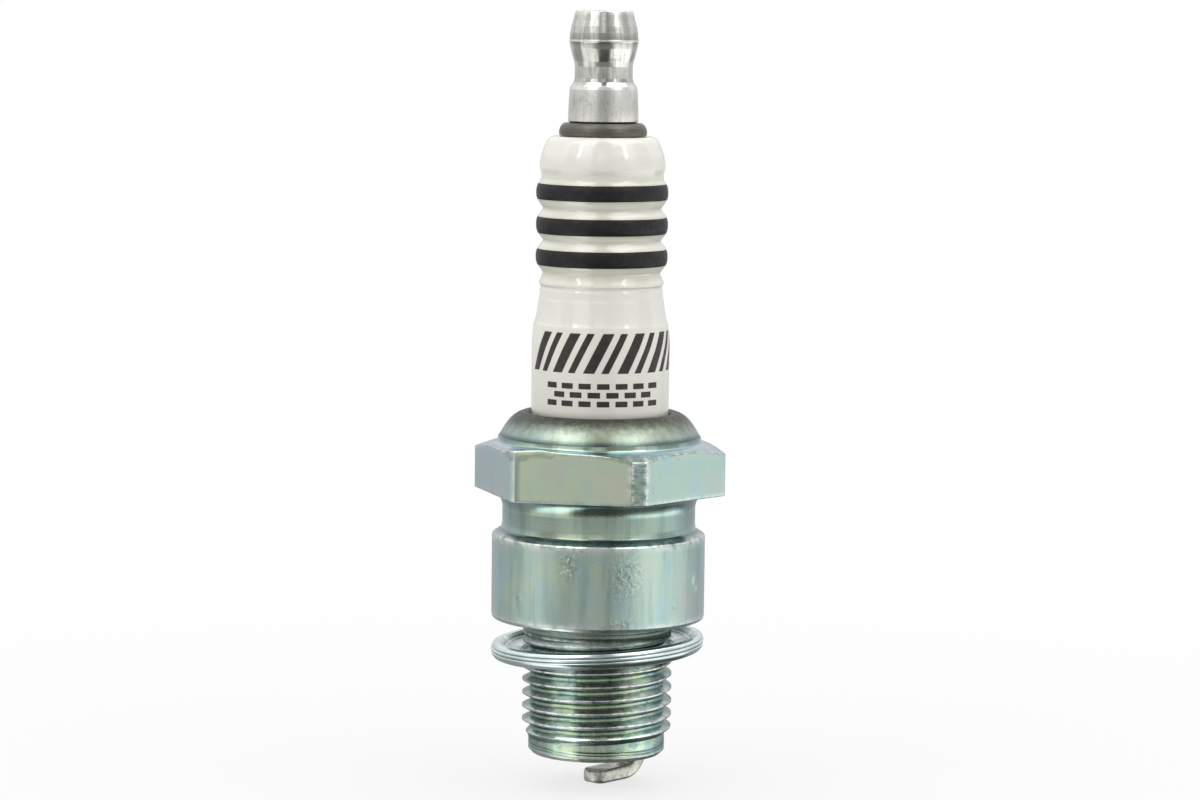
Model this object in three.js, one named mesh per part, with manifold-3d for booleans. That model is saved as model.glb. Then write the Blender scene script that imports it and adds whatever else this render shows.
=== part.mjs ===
// Spark plug for a small motorcycle engine: M14 x 1.25 thread, 12.7 mm reach, 20.8 mm hexagon,
// resistor type with a fine-wire tip. Millimetres, +Z up along the plug's axis.
// Heights are measured from the shell's gasket seat (z = 0); the whole assembly is then raised
// so that the ground electrode's underside lies at z = 0.
import * as THREE from "three";
import { mergeVertices } from "three/addons/utils/BufferGeometryUtils.js";
import Module from "manifold-3d";

const wasm = await Module();
wasm.setup();
const { Manifold, Mesh } = wasm;

// ---------------------------------------------------------------- driving dimensions
// Facets round the turned parts
const SEGMENTS = 48;
const INNER_SEGMENTS = 24;
const STUD_SEGMENTS = 32;
const NUT_SEGMENTS = 40;

const THREAD_MAJOR = 14.0;
const THREAD_MINOR = 12.5;
const PITCH = 1.25;
const REACH = 12.7; // seat face to the shell's end face
const THREAD_LOW = -11.38; // where the thread starts above the pilot
const THREAD_HIGH = -1.36; // where it runs out under the seat
const PILOT_R = 6.375;
const RUNOUT_R = 6.92; // plain part between thread and seat

const HEX_FLATS = 20.8; // across flats
const HEX_CORNER_R = HEX_FLATS / Math.sqrt(3);
const HEX_Z0 = 11.85;
const HEX_DEPTH = 6; // of the prism before its top is chamfered
const HEX_CORNER_TOP = 15.72; // top of the hexagon's corners
const HEX_CHAMFER = 20; // degrees
const CORNER_FLAT = 0.4; // width of the small flat on each corner
const WORN_CORNER_FLAT = 1.45; // one corner is less filled by the forging
const WORN_CORNER_AT = 300; // degrees round the axis

const BODY_R = 9.95;
const BODY_H = 7.9;
const NECK_R = 9.0;
const HEX_ROOT_R = 9.3; // turned body inside the hexagon
const SHELL_BORE_R = 7.3;
const SHELL_LOW_BORE_R = 5.3;
const SHELL_NOSE_BORE_R = 4.4;
const RIM_Z = 19.35;
const RIM_BORE_R = 6.5;

const INSULATOR_R = 6.4;
const INSULATOR_TOP = 44.9;
const BORE_R = 2.0; // insulator's centre bore
const NOSE_BORE_R = 1.35;
const RIB_R = 6.11;
const RIB_PITCH = 2.96;
const RIB_COUNT = 3;
const FIRST_RIB_Z = 33.8;
const GROOVE_R = 5.5;

const RING_R = 6.87; // centre line of the packing rings
const RING_WIRE_R = 0.4;
const LOWER_RING_Z = 14.15;
const UPPER_RING_Z = 17.25;

const ELECTRODE_END = -13.05;
const ELECTRODE_R = 1.25;
const ELECTRODE_TOP = 6.5;
const CORE_HOLE_R = 0.75; // hole in the centre electrode for the copper core
const ELECTRODE_HEAD_R = 1.5;

const FILL_R = BORE_R - 0.06; // glass seals and resistor
const FILL_GAP = 0.05; // between neighbours in the bore
const RESISTOR_Z0 = 8.55;
const RESISTOR_TOP = 17.0;

const STUD_R = 1.95; // M4
const STUD_TOP = 55.5;
const STUD_Z0 = 18.95;
const STUD_SHANK_R = 1.85;
const STUD_END_R = 1.42;
const FLANGE_Z0 = INSULATOR_TOP + 0.05;
const FLANGE_TOP = 46.13;
const NUT_Z0 = 46.2;
const NUT_TOP = 56.46;
const NUT_BORE_R = 2.15;

const GASKET_MID = -3.16;
const GASKET_HALF = 0.82;

const TIP_R = 0.3;
const TIP_END = -13.65;
const GAP = 0.75; // spark gap
const STRAP_T = 1.3;
const STRAP_W = 2.6;
const STRAP_FOOT = 5.35; // radius of the strap's centre line at its foot
const STRAP_AT = 60; // degrees round the axis
const STRAP_END = -0.85; // the free end passes the axis by this much
const STRAP_BEND_R = 1.68; // inside radius of the bend
const STRAP_CORNER_R = 1.0; // rounding of the free end, seen from above
const LOWEST = TIP_END - GAP - STRAP_T;

// ---------------------------------------------------------------- helpers
const radians = THREE.MathUtils.degToRad;

function solidOf(geometry) {
  const bare = geometry.clone();
  bare.deleteAttribute("normal");
  bare.deleteAttribute("uv");
  const merged = mergeVertices(bare, 1e-4);
  const index = merged.index.array;
  // Triangles that merging has collapsed are left out.
  const kept = [];
  for (let i = 0; i < index.length; i += 3) {
    const [a, b, c] = index.subarray(i, i + 3);
    if (a !== b && b !== c && c !== a) kept.push(a, b, c);
  }
  return new Manifold(
    new Mesh({
      numProp: 3,
      vertProperties: merged.attributes.position.array,
      triVerts: new Uint32Array(kept),
    }),
  );
}

function geometryOf(solid) {
  const mesh = solid.getMesh();
  const positions = new Float32Array(mesh.numVert * 3);
  for (let i = 0; i < mesh.numVert; i++) {
    const start = i * mesh.numProp;
    positions.set(mesh.vertProperties.subarray(start, start + 3), i * 3);
  }
  const geometry = new THREE.BufferGeometry();
  geometry.setAttribute("position", new THREE.BufferAttribute(positions, 3));
  geometry.setIndex(new THREE.BufferAttribute(new Uint32Array(mesh.triVerts), 1));
  geometry.computeVertexNormals();
  return geometry;
}

// Turned shape from [radius, height] pairs, anticlockwise.
// A profile that starts on the axis also ends there; any other is closed on itself.
function turned(profile, segments = SEGMENTS) {
  const points = profile.map(([r, z]) => new THREE.Vector2(r, z));
  if (points[0].x > 0) points.push(points[0].clone());
  return new THREE.LatheGeometry(points, segments).rotateX(Math.PI / 2);
}

// Plain round bar, or a plain ring when innerR is given.
function turnedBar(outerR, z0, z1, segments = SEGMENTS, innerR = 0) {
  return turned([[innerR, z0], [outerR, z0], [outerR, z1], [innerR, z1]], segments);
}

const smooth = (t) => {
  const u = Math.min(1, Math.max(0, t));
  return u * u * (3 - 2 * u);
};

// ---------------------------------------------------------------- metal shell
const hexTop = (r) => HEX_CORNER_TOP + (HEX_CORNER_R - r) * Math.tan(radians(HEX_CHAMFER));

// One turn of the thread: [fraction of the pitch, radius]
const THREAD_STEPS = [
  [0.0, THREAD_MINOR / 2],
  [0.25, THREAD_MINOR / 2],
  [0.5625, THREAD_MAJOR / 2],
  [0.6875, THREAD_MAJOR / 2],
];
const THREAD_OFFSET = 0.013; // shift of the helix along the axis, in pitches
const LEAD_IN = 1.1 * PITCH; // height over which the thread grows from the pilot
const RUN_OUT = 0.7 * PITCH; // height over which it fades under the seat

// Shell outline below and above the thread: [radius, height]
const SHELL_BELOW = [
  [0, -REACH], [PILOT_R - 0.35, -REACH], [PILOT_R, -REACH + 0.35], [PILOT_R, THREAD_LOW],
];
const SHELL_ABOVE = [
  [RUNOUT_R, THREAD_HIGH], [RUNOUT_R, 0],
  // body
  [BODY_R - 0.3, 0], [BODY_R - 0.1, 0.1], [BODY_R, 0.35],
  [BODY_R, BODY_H - 0.08], [BODY_R - 0.08, BODY_H + 0.06],
  // neck
  [NECK_R + 0.14, BODY_H + 0.5], [NECK_R + 0.03, BODY_H + 0.68],
  [NECK_R, BODY_H + 0.95], [NECK_R, HEX_Z0 + 0.5],
  // inside the hexagon
  [HEX_ROOT_R, HEX_Z0 + 1.0], [HEX_ROOT_R, 15.6], [9.85, hexTop(9.85) - 0.06],
  // rounded rim
  [9.6, 16.62], [9.46, 16.83], [9.32, 17.15], [9.13, 17.52], [8.91, 17.88],
  [8.68, 18.24], [8.43, 18.58], [8.07, 18.9], [7.7, 19.15], [7.3, 19.31],
  [6.95, RIM_Z], [6.68, 19.28], [RIM_BORE_R, 19.05], [RIM_BORE_R, 18.9], [0, 18.9],
];

// [height, radius] of every thread row at the start of its turn.
function threadRows() {
  const turns = Math.ceil((THREAD_HIGH - THREAD_LOW) / PITCH) + 3;
  const rows = [];
  for (let turn = -2; turn < turns; turn++)
    for (const [fraction, r] of THREAD_STEPS)
      rows.push([THREAD_LOW + (turn + fraction + THREAD_OFFSET) * PITCH, r]);
  return rows;
}

// Thread point as [radius, height], held within the thread's ends and blended into them.
function threadPoint(r, z) {
  if (z <= THREAD_LOW) return [PILOT_R, THREAD_LOW];
  if (z >= THREAD_HIGH) return [RUNOUT_R, THREAD_HIGH];
  const grown = PILOT_R + (r - PILOT_R) * smooth((z - THREAD_LOW) / LEAD_IN);
  return [RUNOUT_R + (grown - RUNOUT_R) * smooth((THREAD_HIGH - z) / RUN_OUT), z];
}

// Turned skin whose middle part is a right-hand thread.
// The grid's rows follow the helix, so crests and roots are clean edges.
function shellSkin() {
  const rows = threadRows();
  const columnLength = SHELL_BELOW.length + rows.length + SHELL_ABOVE.length;
  const positions = [];
  for (let j = 0; j <= SEGMENTS; j++) {
    const t = j / SEGMENTS;
    const angle = 2 * Math.PI * t;
    const thread = rows.map(([z, r]) => threadPoint(r, z + PITCH * t));
    // A right-hand thread rises anticlockwise seen from above.
    for (const [r, z] of [...SHELL_BELOW, ...thread, ...SHELL_ABOVE])
      positions.push(r * Math.sin(angle), -r * Math.cos(angle), z);
  }
  const index = [];
  for (let j = 0; j < SEGMENTS; j++)
    for (let i = 0; i < columnLength - 1; i++) {
      const here = j * columnLength + i;
      const next = here + columnLength;
      index.push(here, next, next + 1, here, next + 1, here + 1);
    }
  const geometry = new THREE.BufferGeometry();
  geometry.setAttribute("position", new THREE.Float32BufferAttribute(positions, 3));
  geometry.setIndex(index);
  return geometry;
}

// Hexagon with small flats on its corners and a conical chamfer on top.
function hexagon() {
  const points = [];
  for (let at = 0; at < 360; at += 60) {
    const half = (at === WORN_CORNER_AT ? WORN_CORNER_FLAT : CORNER_FLAT) / 2;
    const r = HEX_CORNER_R - half * Math.tan(radians(30));
    const cos = Math.cos(radians(at));
    const sin = Math.sin(radians(at));
    for (const offset of [-half, half])
      points.push(new THREE.Vector2(r * cos - offset * sin, r * sin + offset * cos));
  }
  const outline = new THREE.Shape(points);
  outline.closePath();
  const prism = new THREE.ExtrudeGeometry(outline, {
    depth: HEX_DEPTH,
    bevelEnabled: false,
  }).translate(0, 0, HEX_Z0);
  const limitR = 13; // clear of the corners
  const chamferCone = turned([
    [0, HEX_Z0 - 1], [limitR, HEX_Z0 - 1], [limitR, hexTop(limitR)],
    [NECK_R, hexTop(NECK_R)], [0, hexTop(NECK_R)],
  ]);
  return solidOf(prism).intersect(solidOf(chamferCone));
}

function metalShell() {
  const bore = turned([
    [0, -REACH - 1], [SHELL_NOSE_BORE_R + 1.3, -REACH - 1],
    [SHELL_NOSE_BORE_R, -REACH + 0.3], [SHELL_NOSE_BORE_R, -4.406],
    [SHELL_LOW_BORE_R, -3.364], [SHELL_LOW_BORE_R, 2.1],
    [SHELL_BORE_R, 3.8], [SHELL_BORE_R, 17.72],
    [7.2, 18.02], [6.9, 18.38], [6.62, 18.6],
    [RIM_BORE_R, 18.8], [RIM_BORE_R, 20], [0, 20],
  ]);
  return geometryOf(solidOf(shellSkin()).add(hexagon()).subtract(solidOf(bore)));
}

// ---------------------------------------------------------------- insulator
// Rounded ribs with a groove under each; the top rib runs into the head above it.
function ribProfile() {
  const points = [[GROOVE_R, FIRST_RIB_Z - 1.62]];
  for (let i = 0; i < RIB_COUNT; i++) {
    const z = FIRST_RIB_Z + i * RIB_PITCH;
    points.push(
      [5.72, z - 1.16], [5.97, z - 0.72], [6.08, z - 0.3], [RIB_R, z],
      [6.08, z + 0.3], [5.97, z + 0.72],
    );
    if (i < RIB_COUNT - 1) points.push([5.72, z + 1.16], [GROOVE_R, z + RIB_PITCH / 2]);
    else points.push([5.78, z + 1.3]);
  }
  return points;
}

function insulator() {
  return turned([
    // nose and seat
    [NOSE_BORE_R, -REACH], [2.35, -REACH], [2.62, -REACH + 0.28], [3.05, -10],
    [3.9, -4.8], [4.2, -4.25], [4.2, -3.95], [5.15, -2.85], [5.15, 2.2],
    // shoulder held in the shell
    [7.15, 3.9], [7.15, 12.4],
    // barrel, narrowing to the ribs
    [INSULATOR_R, 13.6], [INSULATOR_R, 25.7], [6.34, 26.6], [6.22, 27.7], [6.02, 28.4],
    [5.9, 29.3], [5.79, 30.1], [5.73, 30.9], [5.8, 31.45], [5.62, 31.8],
    ...ribProfile(),
    // rounded head
    [5.84, 41.7], [5.83, 42.3], [5.72, 43.2], [5.5, 43.9], [5.22, 44.45],
    [4.95, 44.78], [4.7, INSULATOR_TOP],
    // bore
    [BORE_R, INSULATOR_TOP], [BORE_R, 5.2], [NOSE_BORE_R, 4.6],
  ]);
}

// ---------------------------------------------------------------- packing between shell and insulator
// Ring of round wire, its section an octagon.
function packingRing(ringZ) {
  const section = [];
  for (let i = 0; i < 8; i++) {
    const angle = radians(45 * i);
    section.push([
      RING_R + RING_WIRE_R * Math.cos(angle),
      ringZ + RING_WIRE_R * Math.sin(angle),
    ]);
  }
  return turned(section);
}

// Powder filling the space between the two rings.
function talcPowder() {
  const toRing = RING_WIRE_R + 0.07;
  const z0 = LOWER_RING_Z + toRing;
  const z1 = UPPER_RING_Z - toRing;
  return turnedBar(SHELL_BORE_R - 0.04, z0, z1, SEGMENTS, INSULATOR_R + 0.05);
}

// Conical washer between the sloping seats of shell and insulator.
function seatWasher() {
  return turned([
    [4.6335, -4.06], [5.1891, -3.4167], [4.9241, -3.188], [4.3685, -3.8313],
  ]);
}

// ---------------------------------------------------------------- centre electrode and its seal
// Headed rod, hollow from above.
function centerElectrode() {
  return turned([
    [0, ELECTRODE_END], [0.42, ELECTRODE_END], [ELECTRODE_R, -12.35], [ELECTRODE_R, 4.72],
    [1.85, 5.27], [1.85, 5.9], [ELECTRODE_HEAD_R, 6.1], [ELECTRODE_HEAD_R, ELECTRODE_TOP],
    [CORE_HOLE_R, ELECTRODE_TOP], [CORE_HOLE_R, -10.6], [0.4, -11.0], [0, -11.0],
  ], INNER_SEGMENTS);
}

function copperCore() {
  const coreR = CORE_HOLE_R - 0.05;
  const top = ELECTRODE_TOP - 0.06;
  return turned(
    [[0, -10.92], [0.36, -10.92], [coreR, -10.54], [coreR, top], [0, top]],
    INNER_SEGMENTS,
  );
}

function iridiumTip() {
  const chamfer = 0.04;
  const top = ELECTRODE_END - 0.03;
  return turned([
    [0, TIP_END], [TIP_R - chamfer, TIP_END], [TIP_R, TIP_END + chamfer],
    [TIP_R, top], [0, top],
  ], INNER_SEGMENTS);
}

// Plug of glass that laps over the electrode's head.
function lowerGlassSeal() {
  const bottom = ELECTRODE_TOP + 0.06;
  const lapR = ELECTRODE_HEAD_R + 0.06;
  const top = RESISTOR_Z0 - FILL_GAP;
  return turned([
    [0, bottom], [lapR, bottom], [lapR, 6.16], [FILL_R, 6.16], [FILL_R, top], [0, top],
  ], INNER_SEGMENTS);
}

// Cup of glass round the stud's lower end.
function upperGlassSeal() {
  const bottom = RESISTOR_TOP + FILL_GAP;
  const cupR = STUD_END_R + 0.08;
  const floor = STUD_Z0 - 0.07;
  return turned([
    [0, bottom], [FILL_R, bottom], [FILL_R, 21.0], [cupR, 21.0], [cupR, floor], [0, floor],
  ], INNER_SEGMENTS);
}

// ---------------------------------------------------------------- terminal
// Stud through the insulator, with a flange on its top and the M4 end above.
function terminalStud() {
  return turned([
    [0, STUD_Z0], [1.2, STUD_Z0], [STUD_END_R, 19.2], [STUD_END_R, 21.2],
    [STUD_SHANK_R, 21.6], [STUD_SHANK_R, 44.7], [STUD_SHANK_R, FLANGE_Z0],
    [4.05, FLANGE_Z0], [4.07, 45.4], [3.97, 45.72], [3.8, 45.98], [3.62, FLANGE_TOP],
    [STUD_R, FLANGE_TOP], [STUD_R, STUD_TOP - 0.4], [STUD_R - 0.45, STUD_TOP], [0, STUD_TOP],
  ], STUD_SEGMENTS);
}

// Waisted nut on the stud.
function terminalNut() {
  return turned([
    [NUT_BORE_R + 0.3, NUT_Z0], [3.15, NUT_Z0], [3.25, NUT_Z0 + 0.12],
    [3.23, 47.4], [3.13, 49.15], [3.05, 49.5], [2.8, 49.88], [2.69, 50.25],
    [2.67, 51.3], [2.74, 51.7], [2.92, 52.3], [3.11, 53.0], [3.17, 53.65],
    [3.13, 54.3], [3.02, 55.0], [2.86, 55.55], [2.72, 56.1], [2.66, 56.36],
    [2.52, NUT_TOP], [NUT_BORE_R, NUT_TOP], [NUT_BORE_R, NUT_Z0 + 0.3],
  ], NUT_SEGMENTS);
}

// ---------------------------------------------------------------- gasket
// Section of the folded sheet: [radius, height from the gasket's middle]
const GASKET_SECTION = [
  [7.15, -0.62], [7.35, -GASKET_HALF], [9.25, -GASKET_HALF], [9.62, -0.66],
  [9.86, -0.36], [9.92, -0.08], [9.8, 0.0], [9.95, 0.08], [9.95, 0.28],
  [9.8, 0.36], [9.86, 0.46], [9.72, 0.68], [9.45, GASKET_HALF], [9.1, 0.8],
  [8.85, 0.6], [8.6, 0.3], [8.3, 0.18], [7.45, 0.18], [7.15, -0.05],
];

// Folded ring of sheet steel, loose on the thread.
function gasket() {
  return turned(GASKET_SECTION.map(([r, height]) => [r, GASKET_MID + height]));
}

// ---------------------------------------------------------------- ground electrode
// Side view of the bent strap, x outwards; drawn in (x, z), extruded across its width, stood up.
function strapBar() {
  const foot = -REACH - 0.02;
  const upper = TIP_END - GAP; // height of the face under the tip
  const innerX = STRAP_FOOT - STRAP_T / 2;
  const outerX = STRAP_FOOT + STRAP_T / 2;
  const bendX = innerX - STRAP_BEND_R;
  const bendZ = upper + STRAP_BEND_R;
  const side = new THREE.Shape();
  side.moveTo(innerX, foot);
  side.lineTo(innerX, bendZ);
  side.absarc(bendX, bendZ, STRAP_BEND_R, 0, -Math.PI / 2, true);
  side.lineTo(STRAP_END, upper);
  side.lineTo(STRAP_END, LOWEST);
  side.lineTo(bendX, LOWEST);
  side.absarc(bendX, bendZ, STRAP_BEND_R + STRAP_T, -Math.PI / 2, 0, false);
  side.lineTo(outerX, foot);
  side.closePath();
  return new THREE.ExtrudeGeometry(side, {
    depth: STRAP_W,
    bevelEnabled: false,
    curveSegments: 8,
  })
    .translate(0, 0, -STRAP_W / 2)
    .rotateX(Math.PI / 2);
}

// Plan view of the strap with its rounded free end, as a block taller than the strap.
function strapPlan() {
  const half = STRAP_W / 2;
  const outerX = STRAP_FOOT + STRAP_T / 2 + 1;
  const cornerX = STRAP_END + STRAP_CORNER_R;
  const cornerY = half - STRAP_CORNER_R;
  const plan = new THREE.Shape();
  plan.moveTo(cornerX, -half);
  plan.lineTo(outerX, -half);
  plan.lineTo(outerX, half);
  plan.lineTo(cornerX, half);
  plan.absarc(cornerX, cornerY, STRAP_CORNER_R, Math.PI / 2, Math.PI, false);
  plan.absarc(cornerX, -cornerY, STRAP_CORNER_R, Math.PI, 1.5 * Math.PI, false);
  return new THREE.ExtrudeGeometry(plan, {
    depth: 8,
    bevelEnabled: false,
    curveSegments: 6,
  }).translate(0, 0, -18);
}

// Flat nickel wire, welded to the shell's end and bent under the tip.
function groundElectrode() {
  return geometryOf(solidOf(strapBar()).intersect(solidOf(strapPlan())));
}

// ---------------------------------------------------------------- materials
const MATERIALS = {
  shell: { color: 0xa9bdb6, roughness: 0.3, metalness: 0.9 },
  ceramic: { color: 0xeae8dc, roughness: 0.15, metalness: 0 },
  ring: { color: 0x8f9294, roughness: 0.4, metalness: 1 },
  talc: { color: 0xd9d8cf, roughness: 0.95, metalness: 0 },
  washer: { color: 0x9a9c9e, roughness: 0.4, metalness: 1 },
  electrode: { color: 0xa7a49c, roughness: 0.35, metalness: 1 },
  copper: { color: 0xb8714a, roughness: 0.35, metalness: 1 },
  iridium: { color: 0xc9c9cc, roughness: 0.25, metalness: 1 },
  glass: { color: 0x4a4f55, roughness: 0.3, metalness: 0.1 },
  resistor: { color: 0x2e2c2a, roughness: 0.7, metalness: 0 },
  stud: { color: 0x5a5850, roughness: 0.45, metalness: 0.9 },
  nut: { color: 0xc3c4c2, roughness: 0.2, metalness: 1 },
  gasket: { color: 0xaab0b3, roughness: 0.3, metalness: 1 },
  nickel: { color: 0xc4bfb2, roughness: 0.35, metalness: 1 },
};

// ---------------------------------------------------------------- assembly
const plug = new THREE.Group();
const assembly = new THREE.Group();
assembly.position.z = -LOWEST;
plug.add(assembly);

function add(name, geometry, material) {
  geometry.deleteAttribute("uv");
  const mesh = new THREE.Mesh(geometry, new THREE.MeshStandardMaterial(material));
  mesh.name = name;
  assembly.add(mesh);
  return mesh;
}

add("metal_shell", metalShell(), MATERIALS.shell);
add("insulator", insulator(), MATERIALS.ceramic);
add("lower_packing_ring", packingRing(LOWER_RING_Z), MATERIALS.ring);
add("talc_powder", talcPowder(), MATERIALS.talc);
add("upper_packing_ring", packingRing(UPPER_RING_Z), MATERIALS.ring);
add("seat_packing_washer", seatWasher(), MATERIALS.washer);
add("center_electrode", centerElectrode(), MATERIALS.electrode);
add("copper_core", copperCore(), MATERIALS.copper);
add("iridium_tip", iridiumTip(), MATERIALS.iridium);
add("lower_glass_seal", lowerGlassSeal(), MATERIALS.glass);
add(
  "resistor",
  turnedBar(FILL_R, RESISTOR_Z0, RESISTOR_TOP, INNER_SEGMENTS),
  MATERIALS.resistor,
);
add("upper_glass_seal", upperGlassSeal(), MATERIALS.glass);
add("terminal_stud", terminalStud(), MATERIALS.stud);
add("terminal_nut", terminalNut(), MATERIALS.nut);
add("gasket", gasket(), MATERIALS.gasket);
const ground = add("ground_electrode", groundElectrode(), MATERIALS.nickel);
ground.rotation.z = radians(STRAP_AT);

export default plug;
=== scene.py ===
import math

import bmesh
import bpy
import numpy as np
from mathutils import Matrix, Vector


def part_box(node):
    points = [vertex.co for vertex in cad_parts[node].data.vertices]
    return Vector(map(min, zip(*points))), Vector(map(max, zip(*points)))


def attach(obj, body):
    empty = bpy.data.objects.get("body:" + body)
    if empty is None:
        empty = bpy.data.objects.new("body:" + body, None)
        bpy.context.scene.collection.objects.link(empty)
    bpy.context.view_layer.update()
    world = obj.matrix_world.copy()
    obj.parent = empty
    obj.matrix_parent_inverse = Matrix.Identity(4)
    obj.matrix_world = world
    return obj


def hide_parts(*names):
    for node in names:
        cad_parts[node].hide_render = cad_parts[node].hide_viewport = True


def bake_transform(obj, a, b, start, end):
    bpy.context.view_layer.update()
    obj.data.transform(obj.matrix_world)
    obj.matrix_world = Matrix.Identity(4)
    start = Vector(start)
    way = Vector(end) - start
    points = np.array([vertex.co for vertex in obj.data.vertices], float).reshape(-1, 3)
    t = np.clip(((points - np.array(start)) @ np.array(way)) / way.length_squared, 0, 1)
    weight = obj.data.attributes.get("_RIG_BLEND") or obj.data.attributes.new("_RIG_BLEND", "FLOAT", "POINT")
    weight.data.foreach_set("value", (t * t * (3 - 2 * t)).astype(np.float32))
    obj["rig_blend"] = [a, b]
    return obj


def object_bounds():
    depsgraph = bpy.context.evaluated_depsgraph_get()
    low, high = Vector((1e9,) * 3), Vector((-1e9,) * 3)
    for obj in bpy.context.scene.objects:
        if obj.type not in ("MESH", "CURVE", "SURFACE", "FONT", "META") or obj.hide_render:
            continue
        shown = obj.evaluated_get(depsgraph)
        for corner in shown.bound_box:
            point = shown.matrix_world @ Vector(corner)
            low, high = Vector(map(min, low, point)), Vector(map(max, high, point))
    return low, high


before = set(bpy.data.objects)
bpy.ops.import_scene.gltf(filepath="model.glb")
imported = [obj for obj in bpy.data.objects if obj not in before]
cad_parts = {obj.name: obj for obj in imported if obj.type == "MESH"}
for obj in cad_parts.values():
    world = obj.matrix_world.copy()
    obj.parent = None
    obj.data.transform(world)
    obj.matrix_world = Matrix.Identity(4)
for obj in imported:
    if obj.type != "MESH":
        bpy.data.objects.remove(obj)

MM = 0.001


def plain(box):
    return [[float(c) for c in corner] for corner in box]


cad_box = plain(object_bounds())

# Heights below are in millimetres from the shell's gasket seat; SEAT is that seat's height in the row frame.
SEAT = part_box("terminal_nut")[1].z / MM - 56.46
rng = np.random.default_rng(7)

CAMERA_AT = 11.8  # degrees, the direction the object is seen from
CAMERA_PHI = -90.0 + CAMERA_AT


# ------------------------------------------------------------------ profiles
def rounded(points, closed=False):
    """Corners (x, y, fillet, steps, paint) become arcs. Returns the finer points and the paint of the segment after each."""
    out, paint = [], []
    n = len(points)
    for i, p in enumerate(points):
        x, y = p[0], p[1]
        f = p[2] if len(p) > 2 else 0.0
        steps = p[3] if len(p) > 3 else 4
        tone = p[4] if len(p) > 4 else 0
        before = points[i - 1][4] if len(points[i - 1]) > 4 else 0
        if f <= 0 or (not closed and i in (0, n - 1)):
            out.append((x, y))
            paint.append(tone)
            continue
        p0, p1, p2 = np.array(points[i - 1][:2], float), np.array((x, y), float), np.array(points[(i + 1) % n][:2], float)
        a, b = p1 - p0, p2 - p1
        la, lb = np.linalg.norm(a), np.linalg.norm(b)
        a, b = a / la, b / lb
        turn = math.acos(max(-1.0, min(1.0, float(a @ b))))
        if turn < 1e-4:
            for k in range(steps + 1):
                q = p1 + a * (1e-4 * (k - steps / 2))
                out.append((q[0], q[1]))
                paint.append(before if k < steps / 2 else tone)
            continue
        t = min(f * math.tan(turn / 2), 0.47 * min(la, lb))
        r = t / math.tan(turn / 2)
        side = 1.0 if a[0] * b[1] - a[1] * b[0] > 0 else -1.0
        nrm = np.array((-a[1], a[0])) * side
        start = p1 - a * t
        for k in range(steps + 1):
            al = turn * k / steps
            q = start + r * (math.sin(al) * a + (1 - math.cos(al)) * nrm)
            out.append((q[0], q[1]))
            paint.append(before if k < steps / 2 else tone)
    return np.array(out), np.array(paint)


def subdivided(pts, paint, longest):
    """Long segments between (r, z) rows are cut into shorter ones."""
    out, tones = [], []
    for i in range(len(pts)):
        out.append(pts[i])
        tones.append(paint[i])
        if i + 1 < len(pts):
            d = np.linalg.norm(pts[i + 1] - pts[i])
            k = int(d / longest)
            for j in range(1, k + 1):
                out.append(pts[i] + (pts[i + 1] - pts[i]) * j / (k + 1))
                tones.append(paint[i])
    return np.array(out), np.array(tones)


def smooth(t):
    u = np.clip(t, 0.0, 1.0)
    return u * u * (3 - 2 * u)


def wobble(t, seed, octaves=4):
    """A smooth periodic noise over an angle in radians."""
    g = np.random.default_rng(seed)
    s = np.zeros_like(t)
    for k in range(1, octaves + 1):
        s += g.normal() * np.cos(k * t) / k + g.normal() * np.sin(k * t) / k
    return s


# ------------------------------------------------------------------ mesh building
def finish_mesh(name, verts, faces, tones, materials, body, node=None, slot=None, merge=False, sharp=38.0):
    me = bpy.data.meshes.new(name)
    me.from_pydata((np.asarray(verts) * MM + np.array((0, 0, SEAT * MM))).tolist(), [], faces)
    for m in materials:
        me.materials.append(m)
    if tones is not None:
        me.polygons.foreach_set("material_index", np.asarray(tones, np.int32))
    if merge:
        bm = bmesh.new()
        bm.from_mesh(me)
        bmesh.ops.remove_doubles(bm, verts=bm.verts, dist=2e-7)
        bmesh.ops.dissolve_degenerate(bm, edges=bm.edges, dist=1e-8)
        bm.to_mesh(me)
        bm.free()
    me.validate()
    me.shade_smooth()
    me.set_sharp_from_angle(angle=math.radians(sharp))
    me.update()
    ob = bpy.data.objects.new(name, me)
    bpy.context.scene.collection.objects.link(ob)
    mark_edges(me)
    if body:
        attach(ob, body)
    if node:
        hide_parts(*([node] if isinstance(node, str) else node))
    return ob


def attribute(me, name, values):
    a = me.attributes.get(name) or me.attributes.new(name, "FLOAT", "POINT")
    a.data.foreach_set("value", np.asarray(values, np.float32))


def coords(me):
    co = np.empty(len(me.vertices) * 3, np.float32)
    me.vertices.foreach_get("co", co)
    return co.reshape(-1, 3).astype(float)


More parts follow.
